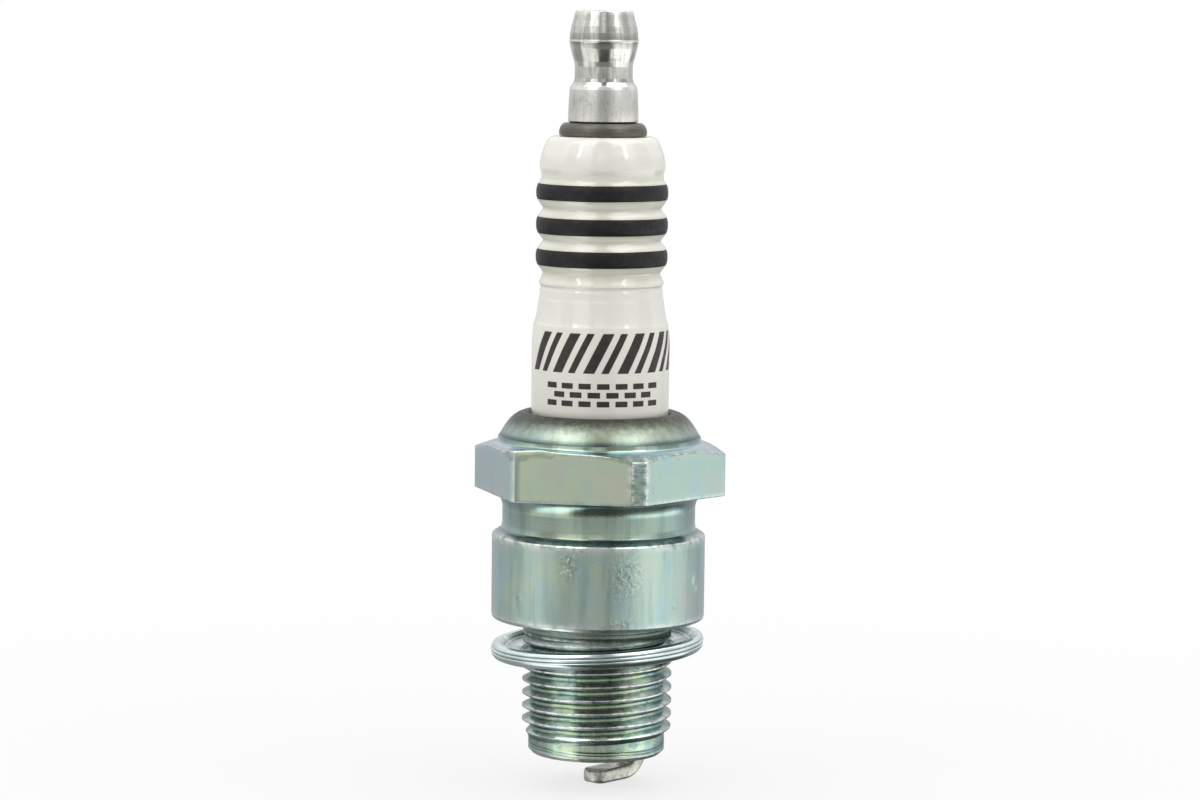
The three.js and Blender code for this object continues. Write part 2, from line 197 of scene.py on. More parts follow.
def mark_edges(me, round_mm=(0.45, 0.10)):
    """Convex and hollow curvature at each point, as the attributes wear and cavity."""
    co = coords(me)
    no = np.empty(len(me.vertices) * 3, np.float32)
    me.vertex_normals.foreach_get("vector", no)
    no = no.reshape(-1, 3).astype(float)
    e = np.empty(len(me.edges) * 2, np.int32)
    me.edges.foreach_get("vertices", e)
    e = e.reshape(-1, 2)
    d = co[e[:, 1]] - co[e[:, 0]]
    length = np.maximum((d * d).sum(1), 1e-14)
    k = ((no[e[:, 1]] - no[e[:, 0]]) * d).sum(1) / length
    hi, lo = np.zeros(len(co)), np.zeros(len(co))
    for side in (0, 1):
        np.maximum.at(hi, e[:, side], k)
        np.minimum.at(lo, e[:, side], k)
    k0, k1 = 1000.0 / round_mm[0], 1000.0 / round_mm[1]
    for name, v in (("wear", hi), ("cavity", -lo)):
        v = np.clip((v - k0) / (k1 - k0), 0, 1)
        s, c = v.copy(), np.ones(len(v))
        for side in (0, 1):
            np.add.at(s, e[:, side], v[e[:, 1 - side]])
            np.add.at(c, e[:, side], 1.0)
        attribute(me, name, s / c)


def grid_faces(rows, cols, wrap_cols, wrap_rows=False):
    """Quads of a grid whose rows run up the outside and whose columns run anticlockwise."""
    i = np.arange(rows if wrap_rows else rows - 1)
    j = np.arange(cols if wrap_cols else cols - 1)
    a, b = np.meshgrid(i, j, indexing="ij")
    a2, b2 = (a + 1) % rows, (b + 1) % cols
    return np.stack([a * cols + b, a * cols + b2, a2 * cols + b2, a2 * cols + b], -1).reshape(-1, 4)


def lathe(name, profile, materials, body, node=None, slot=None, cols=192, ring=False, shape=None, longest=None, **kw):
    """A turned piece. The profile runs anticlockwise in (r, z); a ring closes on itself, and any other one starts and ends on the axis."""
    pts, paint = rounded(profile, closed=ring)
    if longest:
        pts, paint = subdivided(pts, paint, longest)
    n = len(pts)
    th = np.arange(cols) / cols * 2 * math.pi
    r = np.repeat(pts[:, 0][:, None], cols, 1)
    z = np.repeat(pts[:, 1][:, None], cols, 1)
    if shape is not None:
        r, z = shape(r, z, np.repeat(th[None], n, 0))
    verts = np.stack([r * np.cos(th), r * np.sin(th), z], -1).reshape(-1, 3)
    quads = grid_faces(n, cols, True, ring)
    tones = np.repeat(paint[: n if ring else n - 1], cols)
    faces = quads.tolist()
    return finish_mesh(name, verts, faces, tones, materials, body, node, slot, merge=not ring, **kw)


def thread_rows(t, low, high, r_low, r_high, pitch, steps, lead=1.1, fade=0.7):
    """(r, z) rows of a right-hand thread at turn share t, clamped at its two ends."""
    rows = []
    turns = int(math.ceil((high - low) / pitch)) + 3
    for k in range(-2, turns):
        for f, r0 in steps:
            z = low + (k + f + 0.013) * pitch + pitch * t
            if z <= low:
                rows.append((r_low, low))
            elif z >= high:
                rows.append((r_high, high))
            else:
                a = float(smooth((z - low) / (lead * pitch)))
                b = float(smooth((high - z) / (fade * pitch)))
                r = r_low + (r0 - r_low) * a
                r = r_high + (r - r_high) * b
                rows.append((r, z))
    return rows


def thread_steps(root, crest, flat_root, flank, flat_crest, root_round, crest_round, n=3):
    """One turn of a thread's section as (share of the pitch, radius) steps, with its corners rounded in true proportion."""
    pts = [
        (-(flat_root) / 2, root, root_round, n),
        (flat_root / 2, root, root_round, n),
        (flat_root / 2 + flank, crest, crest_round, 2),
        (flat_root / 2 + flank + flat_crest, crest, crest_round, 2),
    ]
    length = flat_root + 2 * flank + flat_crest
    closed = [(pts[3][0] - length, crest)] + pts + [(pts[0][0] + length, root), (pts[1][0] + length, root)]
    fine, _ = rounded([(p[0], p[1]) + tuple(p[2:]) for p in closed])
    fine = fine[1:-2]
    return [((x + flat_root / 2) / length, y) for x, y in fine]


# ------------------------------------------------------------------ node materials
class Paint:
    """A small helper round a material's node tree."""

    def __init__(self, name, tree=None):
        if tree is not None:
            self.t = tree
            return
        self.m = bpy.data.materials.new(name)
        self.m.use_nodes = True
        self.t = self.m.node_tree
        self.t.nodes.clear()
        self.out = self.t.nodes.new("ShaderNodeOutputMaterial")
        self.b = self.t.nodes.new("ShaderNodeBsdfPrincipled")
        self.t.links.new(self.b.outputs[0], self.out.inputs[0])
        self.co = self.t.nodes.new("ShaderNodeTexCoord").outputs["Object"]

    def put(self, socket, value):
        if hasattr(value, "is_output"):
            self.t.links.new(value, socket)
        elif isinstance(value, (tuple, list)) and len(value) == 3 and socket.type == "RGBA":
            socket.default_value = (*value, 1.0)
        else:
            socket.default_value = value

    def set(self, **kw):
        for k, v in kw.items():
            self.put(self.b.inputs[k.replace("_", " ")], v)
        return self

    def scaled(self, s):
        n = self.t.nodes.new("ShaderNodeVectorMath")
        n.operation = "MULTIPLY"
        self.put(n.inputs[0], self.co)
        n.inputs[1].default_value = s
        return n.outputs[0]

    def noise(self, per_mm, detail=3.0, rough=0.55, stretch=(1, 1, 1), vector=None, distort=0.0):
        n = self.t.nodes.new("ShaderNodeTexNoise")
        self.put(n.inputs["Vector"], vector if vector is not None else self.scaled(tuple(1000 * per_mm * c for c in stretch)))
        n.inputs["Scale"].default_value = 1.0
        n.inputs["Detail"].default_value = detail
        n.inputs["Roughness"].default_value = rough
        n.inputs["Distortion"].default_value = distort
        return n.outputs[0]

    def cells(self, per_mm, feature="F1", stretch=(1, 1, 1)):
        n = self.t.nodes.new("ShaderNodeTexVoronoi")
        n.feature = feature
        self.put(n.inputs["Vector"], self.scaled(tuple(1000 * per_mm * c for c in stretch)))
        n.inputs["Scale"].default_value = 1.0
        return n.outputs[0]

    def polar(self, around, along, radial=0.0):
        """Object coordinates unrolled round the axis: turns of angle, height and radius in mm, each scaled."""
        s = self.t.nodes.new("ShaderNodeSeparateXYZ")
        self.put(s.inputs[0], self.co)
        at = self.math("ARCTAN2", s.outputs[1], s.outputs[0])
        r = self.math("SQRT", self.math("ADD", self.math("MULTIPLY", s.outputs[0], s.outputs[0]), self.math("MULTIPLY", s.outputs[1], s.outputs[1])))
        c = self.t.nodes.new("ShaderNodeCombineXYZ")
        self.put(c.inputs[0], self.math("MULTIPLY", at, around))
        self.put(c.inputs[1], self.math("MULTIPLY", r, 1000.0 * radial))
        self.put(c.inputs[2], self.math("MULTIPLY", s.outputs[2], 1000.0 * along))
        return c.outputs[0]

    def math(self, op, a, b=0.0, c=0.0, clamp=False):
        n = self.t.nodes.new("ShaderNodeMath")
        n.operation = op
        n.use_clamp = clamp
        self.put(n.inputs[0], a)
        self.put(n.inputs[1], b)
        if len(n.inputs) > 2:
            self.put(n.inputs[2], c)
        return n.outputs[0]

    def span(self, value, lo, hi, a=0.0, b=1.0, soft=True):
        n = self.t.nodes.new("ShaderNodeMapRange")
        n.interpolation_type = "SMOOTHSTEP" if soft else "LINEAR"
        self.put(n.inputs[0], value)
        for i, v in enumerate((lo, hi, a, b)):
            n.inputs[1 + i].default_value = v
        return n.outputs[0]

    def mix(self, fac, a, b, how="MIX"):
        n = self.t.nodes.new("ShaderNodeMix")
        n.data_type = "RGBA"
        n.blend_type = how
        self.put(n.inputs[0], fac)
        self.put(n.inputs[6], a)
        self.put(n.inputs[7], b)
        return n.outputs[2]

    def ramp(self, value, stops):
        n = self.t.nodes.new("ShaderNodeValToRGB")
        e = n.color_ramp.elements
        while len(e) < len(stops):
            e.new(0.5)
        for s, (p, c) in zip(e, stops):
            s.position = p
            s.color = (*c, 1.0)
        self.put(n.inputs[0], value)
        return n.outputs[0]

    def attr(self, name):
        n = self.t.nodes.new("ShaderNodeAttribute")
        n.attribute_name = name
        return n.outputs["Fac"]

    def facing(self, blend=0.5):
        n = self.t.nodes.new("ShaderNodeLayerWeight")
        n.inputs[0].default_value = blend
        return n.outputs["Facing"]

    def height(self):
        """Height from the gasket seat, in mm."""
        s = self.t.nodes.new("ShaderNodeSeparateXYZ")
        self.put(s.inputs[0], self.co)
        return self.math("SUBTRACT", self.math("MULTIPLY", s.outputs[2], 1000.0), SEAT)

    def bump(self, height, mm, strength=1.0, under=None):
        n = self.t.nodes.new("ShaderNodeBump")
        n.inputs["Strength"].default_value = strength
        n.inputs["Distance"].default_value = mm * MM
        self.put(n.inputs["Height"], height)
        if under is not None:
            self.put(n.inputs["Normal"], under)
        return n.outputs[0]

    def done(self):
        return self.m


def zinc_material(name):
    """Zinc plate under a clear blue-green passivation film. The film's tint changes with the angle it is seen at and
    with its thickness;
    burnished zones (polish) mirror more and look greener, and the crimped lip is duller. Painted shade darkens
    sheltered places and hollows, and painted highlights and painted reflections lighten or darken some bands and spots."""
    p = Paint(name)
    polish, lip, crest, forged, turned, shade, olive, pitted, streak = (p.attr(k) for k in ("polish", "lip", "crest", "forged", "turned", "shade", "olive", "pitted", "streak"))
    film = p.noise(0.13, 3.0, 0.6)
    film2 = p.noise(0.38, 2.0, 0.5, stretch=(1, 1, 0.55))
    around = p.noise(1.0, 3.0, 0.6, vector=p.polar(9.0, 0.10, 0.2))
    rings = p.noise(1.0, 2.0, 0.6, vector=p.polar(0.7, 2.6, 2.6))
    face = p.facing(0.5)
    shifted = p.math("ADD", face, p.span(film, 0.3, 0.7, -0.12, 0.12), clamp=True)
    satin = p.ramp(shifted, [
        (0.0, (0.455, 0.575, 0.495)), (0.2, (0.435, 0.575, 0.510)), (0.5, (0.415, 0.560, 0.530)), (0.8, (0.430, 0.545, 0.560)), (1.0, (0.50, 0.55, 0.61)),
    ])
    shiny = p.ramp(p.math("ADD", shifted, p.span(rings, 0.3, 0.7, -0.16, 0.16), clamp=True), [
        (0.0, (0.58, 0.67, 0.45)), (0.25, (0.445, 0.605, 0.49)), (0.5, (0.37, 0.55, 0.52)), (0.76, (0.35, 0.50, 0.59)), (1.0, (0.50, 0.57, 0.66)),
    ])
    tint = p.mix(polish, satin, shiny)
    olive_tone = p.mix(p.span(p.noise(0.22, 2.0, 0.5), 0.44, 0.62), (0.540, 0.650, 0.475), (0.595, 0.622, 0.500))
    tint = p.mix(p.math("MULTIPLY", olive, p.span(film, 0.25, 0.6, 1.0, 0.75)), tint, olive_tone)
    blush = p.mix(p.span(film2, 0.53, 0.72, 0.0, 0.42), tint, (0.57, 0.52, 0.56))
    gold = p.mix(p.math("MULTIPLY", p.span(p.noise(0.27, 3.0, 0.6, stretch=(1, 1, 0.7)), 0.54, 0.70), 0.42), blush, (0.57, 0.64, 0.43))
    sky = p.mix(p.span(film2, 0.30, 0.46, 0.40, 0.0), gold, (0.37, 0.57, 0.66))
    sky = p.mix(p.math("MULTIPLY", crest, 0.8), sky, (0.43, 0.46, 0.53))
    sky = p.mix(p.math("MULTIPLY", p.span(around, 0.46, 0.70), p.math("MULTIPLY", turned, 0.48)), sky, (0.26, 0.37, 0.34))
    # the rolled thread is blotched and slightly lumpy
    rolled = p.attr("rolled")
    sky = p.mix(p.math("MULTIPLY", rolled, p.span(p.noise(1.0, 3.0, 0.6, stretch=(1, 1, 2.0)), 0.50, 0.64, 0.0, 0.55)), sky, (0.20, 0.29, 0.29))
    sky = p.mix(p.math("MULTIPLY", rolled, p.span(p.noise(0.7, 2.0, 0.5, stretch=(1, 1, 1.6)), 0.53, 0.66, 0.0, 0.50)), sky, (0.68, 0.73, 0.46))
    sky = p.mix(p.math("MULTIPLY", streak, p.span(p.noise(0.5, 3.0, 0.6, stretch=(1, 1, 0.25)), 0.35, 0.6, 0.15, 0.55)), sky, (0.24, 0.34, 0.31))
    dull = p.mix(p.math("MULTIPLY", lip, 0.8), sky, p.mix(p.span(p.noise(1.3, 4.0, 0.7), 0.35, 0.65), (0.20, 0.195, 0.155), (0.49, 0.49, 0.37)))
    # painted light and shade: the colour is multiplied by the shell's shade attribute, darker in sheltered places, with
    # lighter or darker painted bands and spots against the reflections
    dull = p.mix(1.0, dull, shade, "MULTIPLY")
    dull = p.mix(rolled, dull, (1.05, 1.07, 1.06), "MULTIPLY")
    worn = p.math("MULTIPLY", p.attr("wear"), p.span(p.noise(1.4, 2.0), 0.30, 0.62), clamp=True)
    bare = p.mix(p.math("MULTIPLY", worn, 0.8), dull, (0.90, 0.91, 0.88))
    marks = p.span(p.noise(1.0, 3.0, 0.6, stretch=(1.2, 1.2, 3.4)), 0.46, 0.62)
    bare = p.mix(p.math("MULTIPLY", p.math("MULTIPLY", forged, marks), 0.8), bare, (0.20, 0.26, 0.24))
    # crumpled patches of tiny pits and specks in the plating of the round body
    crumple = p.noise(3.1, 3.0, 0.7, stretch=(1, 1, 0.9))
    pits = p.math("MULTIPLY", pitted, p.span(crumple, 0.49, 0.42), clamp=True)
    specks = p.math("MULTIPLY", pitted, p.span(crumple, 0.565, 0.62), clamp=True)
    dusty = p.mix(p.math("MULTIPLY", pits, 0.55), bare, (0.16, 0.24, 0.21))
    dusty = p.mix(p.math("MULTIPLY", specks, 0.6), dusty, (0.78, 0.82, 0.70))
    dot = p.math("MULTIPLY", p.span(p.cells(1.3), 0.06, 0.12, 1.0, 0.0), p.span(p.noise(0.28, 2.0), 0.56, 0.62))
    dusty = p.mix(p.math("MULTIPLY", dot, 0.6), dusty, (0.10, 0.13, 0.12))
    # painted shade in the hollows from the cavity attribute, which on one hexagon facet also carries a dark line
    darkened_tone = p.mix(p.math("MULTIPLY", p.attr("cavity"), 0.60), dusty, (0.07, 0.10, 0.11))
    fine = p.noise(6.0, 3.0, 0.6)
    turning = p.noise(1.0, 2.0, 0.7, vector=p.polar(1.2, 7.0, 7.0))
    drawn = p.noise(1.0, 2.0, 0.6, stretch=(0.5, 0.5, 5.0))
    wavy = p.noise(0.42, 2.0, 0.5)
    rough = p.span(polish, 0.0, 1.0, 0.34, 0.16, soft=False)
    rough = p.math("ADD", rough, p.math("MULTIPLY", lip, 0.20))
    rough = p.math("ADD", rough, p.math("MULTIPLY", forged, 0.10))
    rough = p.math("ADD", rough, p.math("MULTIPLY", rolled, 0.055))
    rough = p.math("ADD", rough, p.span(film, 0.3, 0.7, -0.03, 0.04))
    rough = p.math("ADD", rough, p.span(fine, 0.35, 0.7, -0.02, 0.04), clamp=True)
    n1 = p.bump(wavy, 0.020, 0.5)
    n1 = p.bump(p.math("MULTIPLY", around, turned), 0.036, 0.55, n1)
    n1 = p.bump(p.math("MULTIPLY", p.noise(1.2, 3.0, 0.6), rolled), 0.030, 0.5, n1)
    n1 = p.bump(p.math("MULTIPLY", drawn, p.math("SUBTRACT", 1.0, turned)), 0.008, 0.5, n1)
    n2 = p.bump(p.math("MULTIPLY", turning, turned), 0.007, 0.6, n1)
    n3 = p.bump(p.math("ADD", fine, p.math("MULTIPLY", p.math("MULTIPLY", crumple, pitted), 16.0)), 0.007, 0.7, n2)
    n4 = p.bump(p.math("MULTIPLY", p.noise(2.2, 4.0, 0.7), lip), 0.045, 0.8, n3)
    # the rolled flanks are dull at a glancing angle, so the crests don't flare at the outline
    glance = p.mix(rolled, (1.0, 1.0, 1.0), (0.56, 0.59, 0.55))
    return p.set(Base_Color=darkened_tone, Metallic=1.0, Roughness=rough, Normal=n4, Specular_Tint=glance).done()


def glaze_material(name):
    """Ivory glaze over alumina: glossy coat, soft depth, faint pooling of colour in the grooves, very slight waviness."""
    p = Paint(name)
    cloud = p.noise(0.12, 3.0, 0.55)
    ivory = p.mix(p.span(cloud, 0.35, 0.65), (0.862, 0.852, 0.768), (0.835, 0.827, 0.752))
    warm = p.mix(p.span(p.noise(0.09, 2.0), 0.45, 0.7, 0.0, 0.35), ivory, (0.83, 0.79, 0.77))
    pooled = p.mix(p.math("MULTIPLY", p.attr("groove"), 0.8), warm, (0.50, 0.515, 0.335))
    speck = p.math("MULTIPLY", p.span(p.cells(0.9), 0.035, 0.06, 1.0, 0.0), p.span(p.noise(0.5), 0.56, 0.62))
    tone = p.mix(p.math("MULTIPLY", speck, 0.4), pooled, (0.45, 0.42, 0.36))
    tone = p.mix(p.math("MULTIPLY", p.span(p.height(), 27.5, 20.2), 0.5), tone, (0.70, 0.695, 0.64))
    # darker on the glaze just above the shell's lip
    darkened_tone = p.mix(p.math("MULTIPLY", p.span(p.height(), 19.95, 19.35), 0.45), tone, (0.42, 0.42, 0.37))
    skin = p.bump(p.noise(0.26, 2.0, 0.5), 0.030, 0.35)
    skin = p.bump(p.noise(1.6, 2.0, 0.5), 0.0016, 0.35, skin)
    rough = p.span(p.noise(0.8, 3.0), 0.3, 0.7, 0.28, 0.38)
    return p.set(
        Base_Color=darkened_tone, Roughness=rough, Coat_Weight=1.0, Coat_IOR=1.72, Coat_Roughness=p.span(p.noise(2.5), 0.3, 0.7, 0.04, 0.09), Coat_Normal=skin,
        Normal=skin, Subsurface_Weight=0.15, Subsurface_Radius=(0.7, 0.6, 0.45), Subsurface_Scale=0.0010,
    ).done()


def alumina_material():
    p = Paint("alumina_bare")
    c = p.mix(p.span(p.noise(0.4, 3.0), 0.3, 0.7), (0.80, 0.79, 0.75), (0.72, 0.71, 0.67))
    return p.set(Base_Color=c, Roughness=p.span(p.noise(3.0), 0.3, 0.7, 0.6, 0.75), Normal=p.bump(p.noise(5.0, 3.0), 0.005, 0.5)).done()


def band_material(name, tone, coat=0.9, rough=0.34):
    """Charcoal ceramic ink fired under the glaze."""
    p = Paint(name)
    c = p.mix(p.span(p.noise(1.4, 4.0, 0.6), 0.35, 0.7), tone, tuple(min(1, v * 1.5 + 0.004) for v in tone))
    skin = p.bump(p.noise(0.30, 2.0, 0.5), 0.020, 0.25)
    skin = p.bump(p.noise(6.0, 3.0, 0.6), 0.003, 0.5, skin)
    return p.set(Base_Color=c, Roughness=p.span(p.noise(3.0, 3.0), 0.3, 0.7, rough, rough + 0.14), Coat_Weight=coat, Coat_Roughness=0.12, Specular_IOR_Level=0.32, Normal=skin, Coat_Normal=skin).done()


def bright_material(name, tone, rough=0.13, lines=0.0035, streak=0.5, tarnish=(0.42, 0.40, 0.36), rubbed=(0.90, 0.89, 0.87), burnish=None):
    """Bright nickel plate on a turned part: fine tool lines round it, faint stains and polished edges."""
    p = Paint(name)
    tool = p.noise(1.0, 2.0, 0.7, vector=p.polar(0.9, 9.0, 9.0))
    drag = p.noise(1.0, 3.0, 0.65, vector=p.polar(9.0, 0.35, 0.3))
    cloud = p.noise(0.6, 4.0, 0.6)
    c = p.mix(p.math("MULTIPLY", p.span(cloud, 0.48, 0.75), 0.35), tone, tarnish)
    c = p.mix(p.math("MULTIPLY", p.span(drag, 0.49, 0.66), streak * 0.5), c, tuple(v * 0.52 for v in tone))
    c = p.mix(p.math("MULTIPLY", p.attr("wear"), 0.6), c, rubbed)
    # painted shade in the hollows, and on the gasket's lower roll
    c = p.mix(p.math("MULTIPLY", p.attr("cavity"), 0.6), c, (0.16, 0.15, 0.13))
    r = p.math("ADD", p.span(cloud, 0.3, 0.7, rough, rough + 0.08), p.math("MULTIPLY", p.span(drag, 0.45, 0.7), streak * 0.12), clamp=True)
    if burnish:
        # a smooth rolled zone between two heights
        zone = p.math("MULTIPLY", p.span(p.height(), burnish[0] - 0.1, burnish[0] + 0.1), p.span(p.height(), burnish[1] + 0.1, burnish[1] - 0.1))
        r = p.math("SUBTRACT", r, p.math("MULTIPLY", zone, 0.13), clamp=True)
        r = p.math("SUBTRACT", r, p.span(p.height(), burnish[1] + 0.1, burnish[1] + 0.3, 0.0, 0.09), clamp=True)
        c = p.mix(p.math("MULTIPLY", p.math("MULTIPLY", p.span(p.noise(2.2, 4.0, 0.7), 0.55, 0.70), p.math("SUBTRACT", 1.0, zone)), 0.45), c, tuple(v * 0.5 for v in tone))
    n = p.bump(p.noise(0.7, 2.0), 0.016, 0.45)
    n = p.bump(drag, 0.010, 0.5, n)
    n = p.bump(tool, lines, 0.7, n)
    n = p.bump(p.noise(9.0, 2.0), 0.002, 0.4, n)
    return p.set(Base_Color=c, Metallic=1.0, Roughness=r, Normal=n).done()


def steel_material(name, tone, rough, spread=0.1, scale=1.0, metal=1.0, grain=0.004):
    p = Paint(name)
    cloud = p.noise(0.5 * scale, 4.0, 0.6)
    c = p.mix(p.span(cloud, 0.3, 0.75), tone, tuple(v * 0.72 for v in tone))
    c = p.mix(p.math("MULTIPLY", p.attr("wear"), 0.5), c, tuple(min(1.0, v * 1.5 + 0.08) for v in tone))
    # painted shade in the hollows
    c = p.mix(p.math("MULTIPLY", p.attr("cavity"), 0.5), c, tuple(v * 0.35 for v in tone))
    tool = p.noise(1.0, 2.0, 0.7, vector=p.polar(1.5, 6.0, 6.0))
    n = p.bump(p.noise(7.0 * scale, 3.0, 0.65), grain, 0.5, p.bump(tool, 0.003, 0.5))
    return p.set(Base_Color=c, Metallic=metal, Roughness=p.span(p.noise(2.5 * scale, 3.0), 0.3, 0.7, rough, rough + spread), Normal=n).done()


def strap_material():
    """Rolled nickel-alloy wire: fine rolling lines along it and a faint straw and blue heat tint by the weld."""
    p = Paint("nickel_wire")
    roll = p.noise(1.0, 3.0, 0.6, vector=p.scaled((1200.0, 9000.0, 1500.0)))
    cloud = p.noise(0.9, 4.0, 0.6)
    c = p.mix(p.span(cloud, 0.35, 0.7), (0.62, 0.63, 0.56), (0.42, 0.43, 0.38))
    c = p.mix(p.math("MULTIPLY", p.span(p.noise(3.2, 4.0, 0.7), 0.50, 0.62), 0.55), c, (0.24, 0.24, 0.21))
    heat = p.span(p.math("ADD", p.height(), p.span(cloud, 0.2, 0.8, -0.35, 0.35)), -14.2, -12.9)
    c = p.mix(p.math("MULTIPLY", heat, 0.55), c, (0.52, 0.43, 0.30))
    c = p.mix(p.math("MULTIPLY", p.attr("weld"), 0.75), c, (0.30, 0.30, 0.34))
    c = p.mix(p.math("MULTIPLY", p.attr("wear"), 0.45), c, (0.90, 0.88, 0.84))
    n = p.bump(roll, 0.006, 0.55, p.bump(p.noise(1.5, 3.0), 0.045, 0.5))
    return p.set(Base_Color=c, Metallic=1.0, Roughness=p.span(cloud, 0.3, 0.7, 0.28, 0.42), Normal=n).done()


def powder_material(name, tone, rough=0.85, scale=1.0, coat=0.0):
    p = Paint(name)
    c = p.mix(p.span(p.noise(2.0 * scale, 5.0, 0.7), 0.35, 0.7), tone, tuple(v * 0.75 for v in tone))
    c = p.mix(p.math("MULTIPLY", p.span(p.cells(3.0 * scale), 0.1, 0.25, 1.0, 0.0), 0.35), c, tuple(v * 0.5 for v in tone))
    return p.set(Base_Color=c, Roughness=p.span(p.noise(4.0 * scale), 0.3, 0.7, rough - 0.12, rough), Coat_Weight=coat, Normal=p.bump(p.noise(8.0 * scale, 4.0, 0.7), 0.02, 0.6)).done()


zinc = zinc_material("zinc_passivated")
glaze = glaze_material("glaze_ivory")
alumina = alumina_material()
band = band_material("band_charcoal", (0.004, 0.0032, 0.0045), coat=0.12, rough=0.50)
ink = band_material("ink_charcoal", (0.026, 0.019, 0.018), coat=0.2, rough=0.45)
nickel_bright = bright_material("nickel_plate_bright", (0.655, 0.655, 0.615), rough=0.23, lines=0.007, streak=1.3, burnish=(49.6, 53.65))
gasket_zinc = bright_material("zinc_plate_gasket", (0.60, 0.73, 0.72), rough=0.17, lines=0.003, streak=0.5, tarnish=(0.42, 0.40, 0.42), rubbed=(0.80, 0.90, 0.89))
stud_oxide = steel_material("steel_dark_oxide", (0.098, 0.092, 0.076), 0.34, 0.12, 1.0, 0.85)
stud_thread = steel_material("steel_stud_thread", (0.42, 0.41, 0.38), 0.28, 0.12)
strap_nickel = strap_material()
electrode_nickel = steel_material("nickel_electrode", (0.68, 0.65, 0.59), 0.30, 0.1)
iridium = steel_material("iridium_wire", (0.78, 0.78, 0.79), 0.18, 0.08, 3.0)
packing = steel_material("packing_steel_wire", (0.50, 0.50, 0.51), 0.34, 0.12)
copper = steel_material("copper_bare", (0.78, 0.42, 0.26), 0.30, 0.12)
resistor_mass = powder_material("resistor_mass", (0.11, 0.10, 0.095), 0.75, 1.0)
seal_glass = powder_material("seal_glass_grey", (0.24, 0.26, 0.29), 0.40, 0.8, 0.5)
talc = powder_material("talc_pressed", (0.80, 0.79, 0.74), 0.92, 1.3)

# ------------------------------------------------------------------ metal shell
HEX_FLAT = 10.4
CORNER = 20.8 / math.sqrt(3)
TOP_AT_CORNER, TOP_SLOPE = 15.72, math.tan(math.radians(20))
HEX_Z0 = 11.85


def hex_top(r):
    return TOP_AT_CORNER + (CORNER - r) * TOP_SLOPE


def hex_outline():
    """Columns round the shell as (turn from -Y in degrees, radius of the hexagon there)."""
    corners = []
    for k in range(6):
        at = math.radians(60 * k)
        half = 0.725 if k == 5 else 0.2
        d = CORNER - half * math.tan(math.radians(30))
        for s in (-1, 1):
            corners.append((d * math.cos(at) - s * half * math.sin(at), d * math.sin(at) + s * half * math.cos(at), 0.22 if k == 5 else 0.16, 4))
    pts, _ = rounded(corners, closed=True)
    turn = (np.degrees(np.arctan2(pts[:, 1], pts[:, 0])) + 90.0) % 360.0
    cols = {round(float(t), 5): float(np.hypot(*p)) for t, p in zip(turn, pts)}
    planes = []
    for k in range(6):
        planes.append((60 * k + 30, HEX_FLAT))
        planes.append((60 * k, CORNER - (0.725 if k == 5 else 0.2) * math.tan(math.radians(30))))
    extra = list(np.arange(0, 360, 2.0)) + [30 + x for x in (-2.4, -1.6, -0.8, 0.0, 0.8, 1.6, 2.4)]
    for t in extra:
        if min(abs((t - c + 180) % 360 - 180) for c in cols) > 0.42:
            phi = t - 90.0
            cols[round(float(t), 5)] = min(d / math.cos(math.radians(phi - a)) for a, d in planes if math.cos(math.radians(phi - a)) > 0.5)
    out = sorted(cols.items())
    return out + [(360.0, out[0][1])]


def ding(phi, z, at, height, wide, tall, deep):
    """A shallow dent's depth at angle phi (degrees) and height z."""
    d = ((phi - at + 180) % 360 - 180) / wide
    e = (z - height) / tall
    return deep * math.exp(-(d * d + e * e) * 1.6)


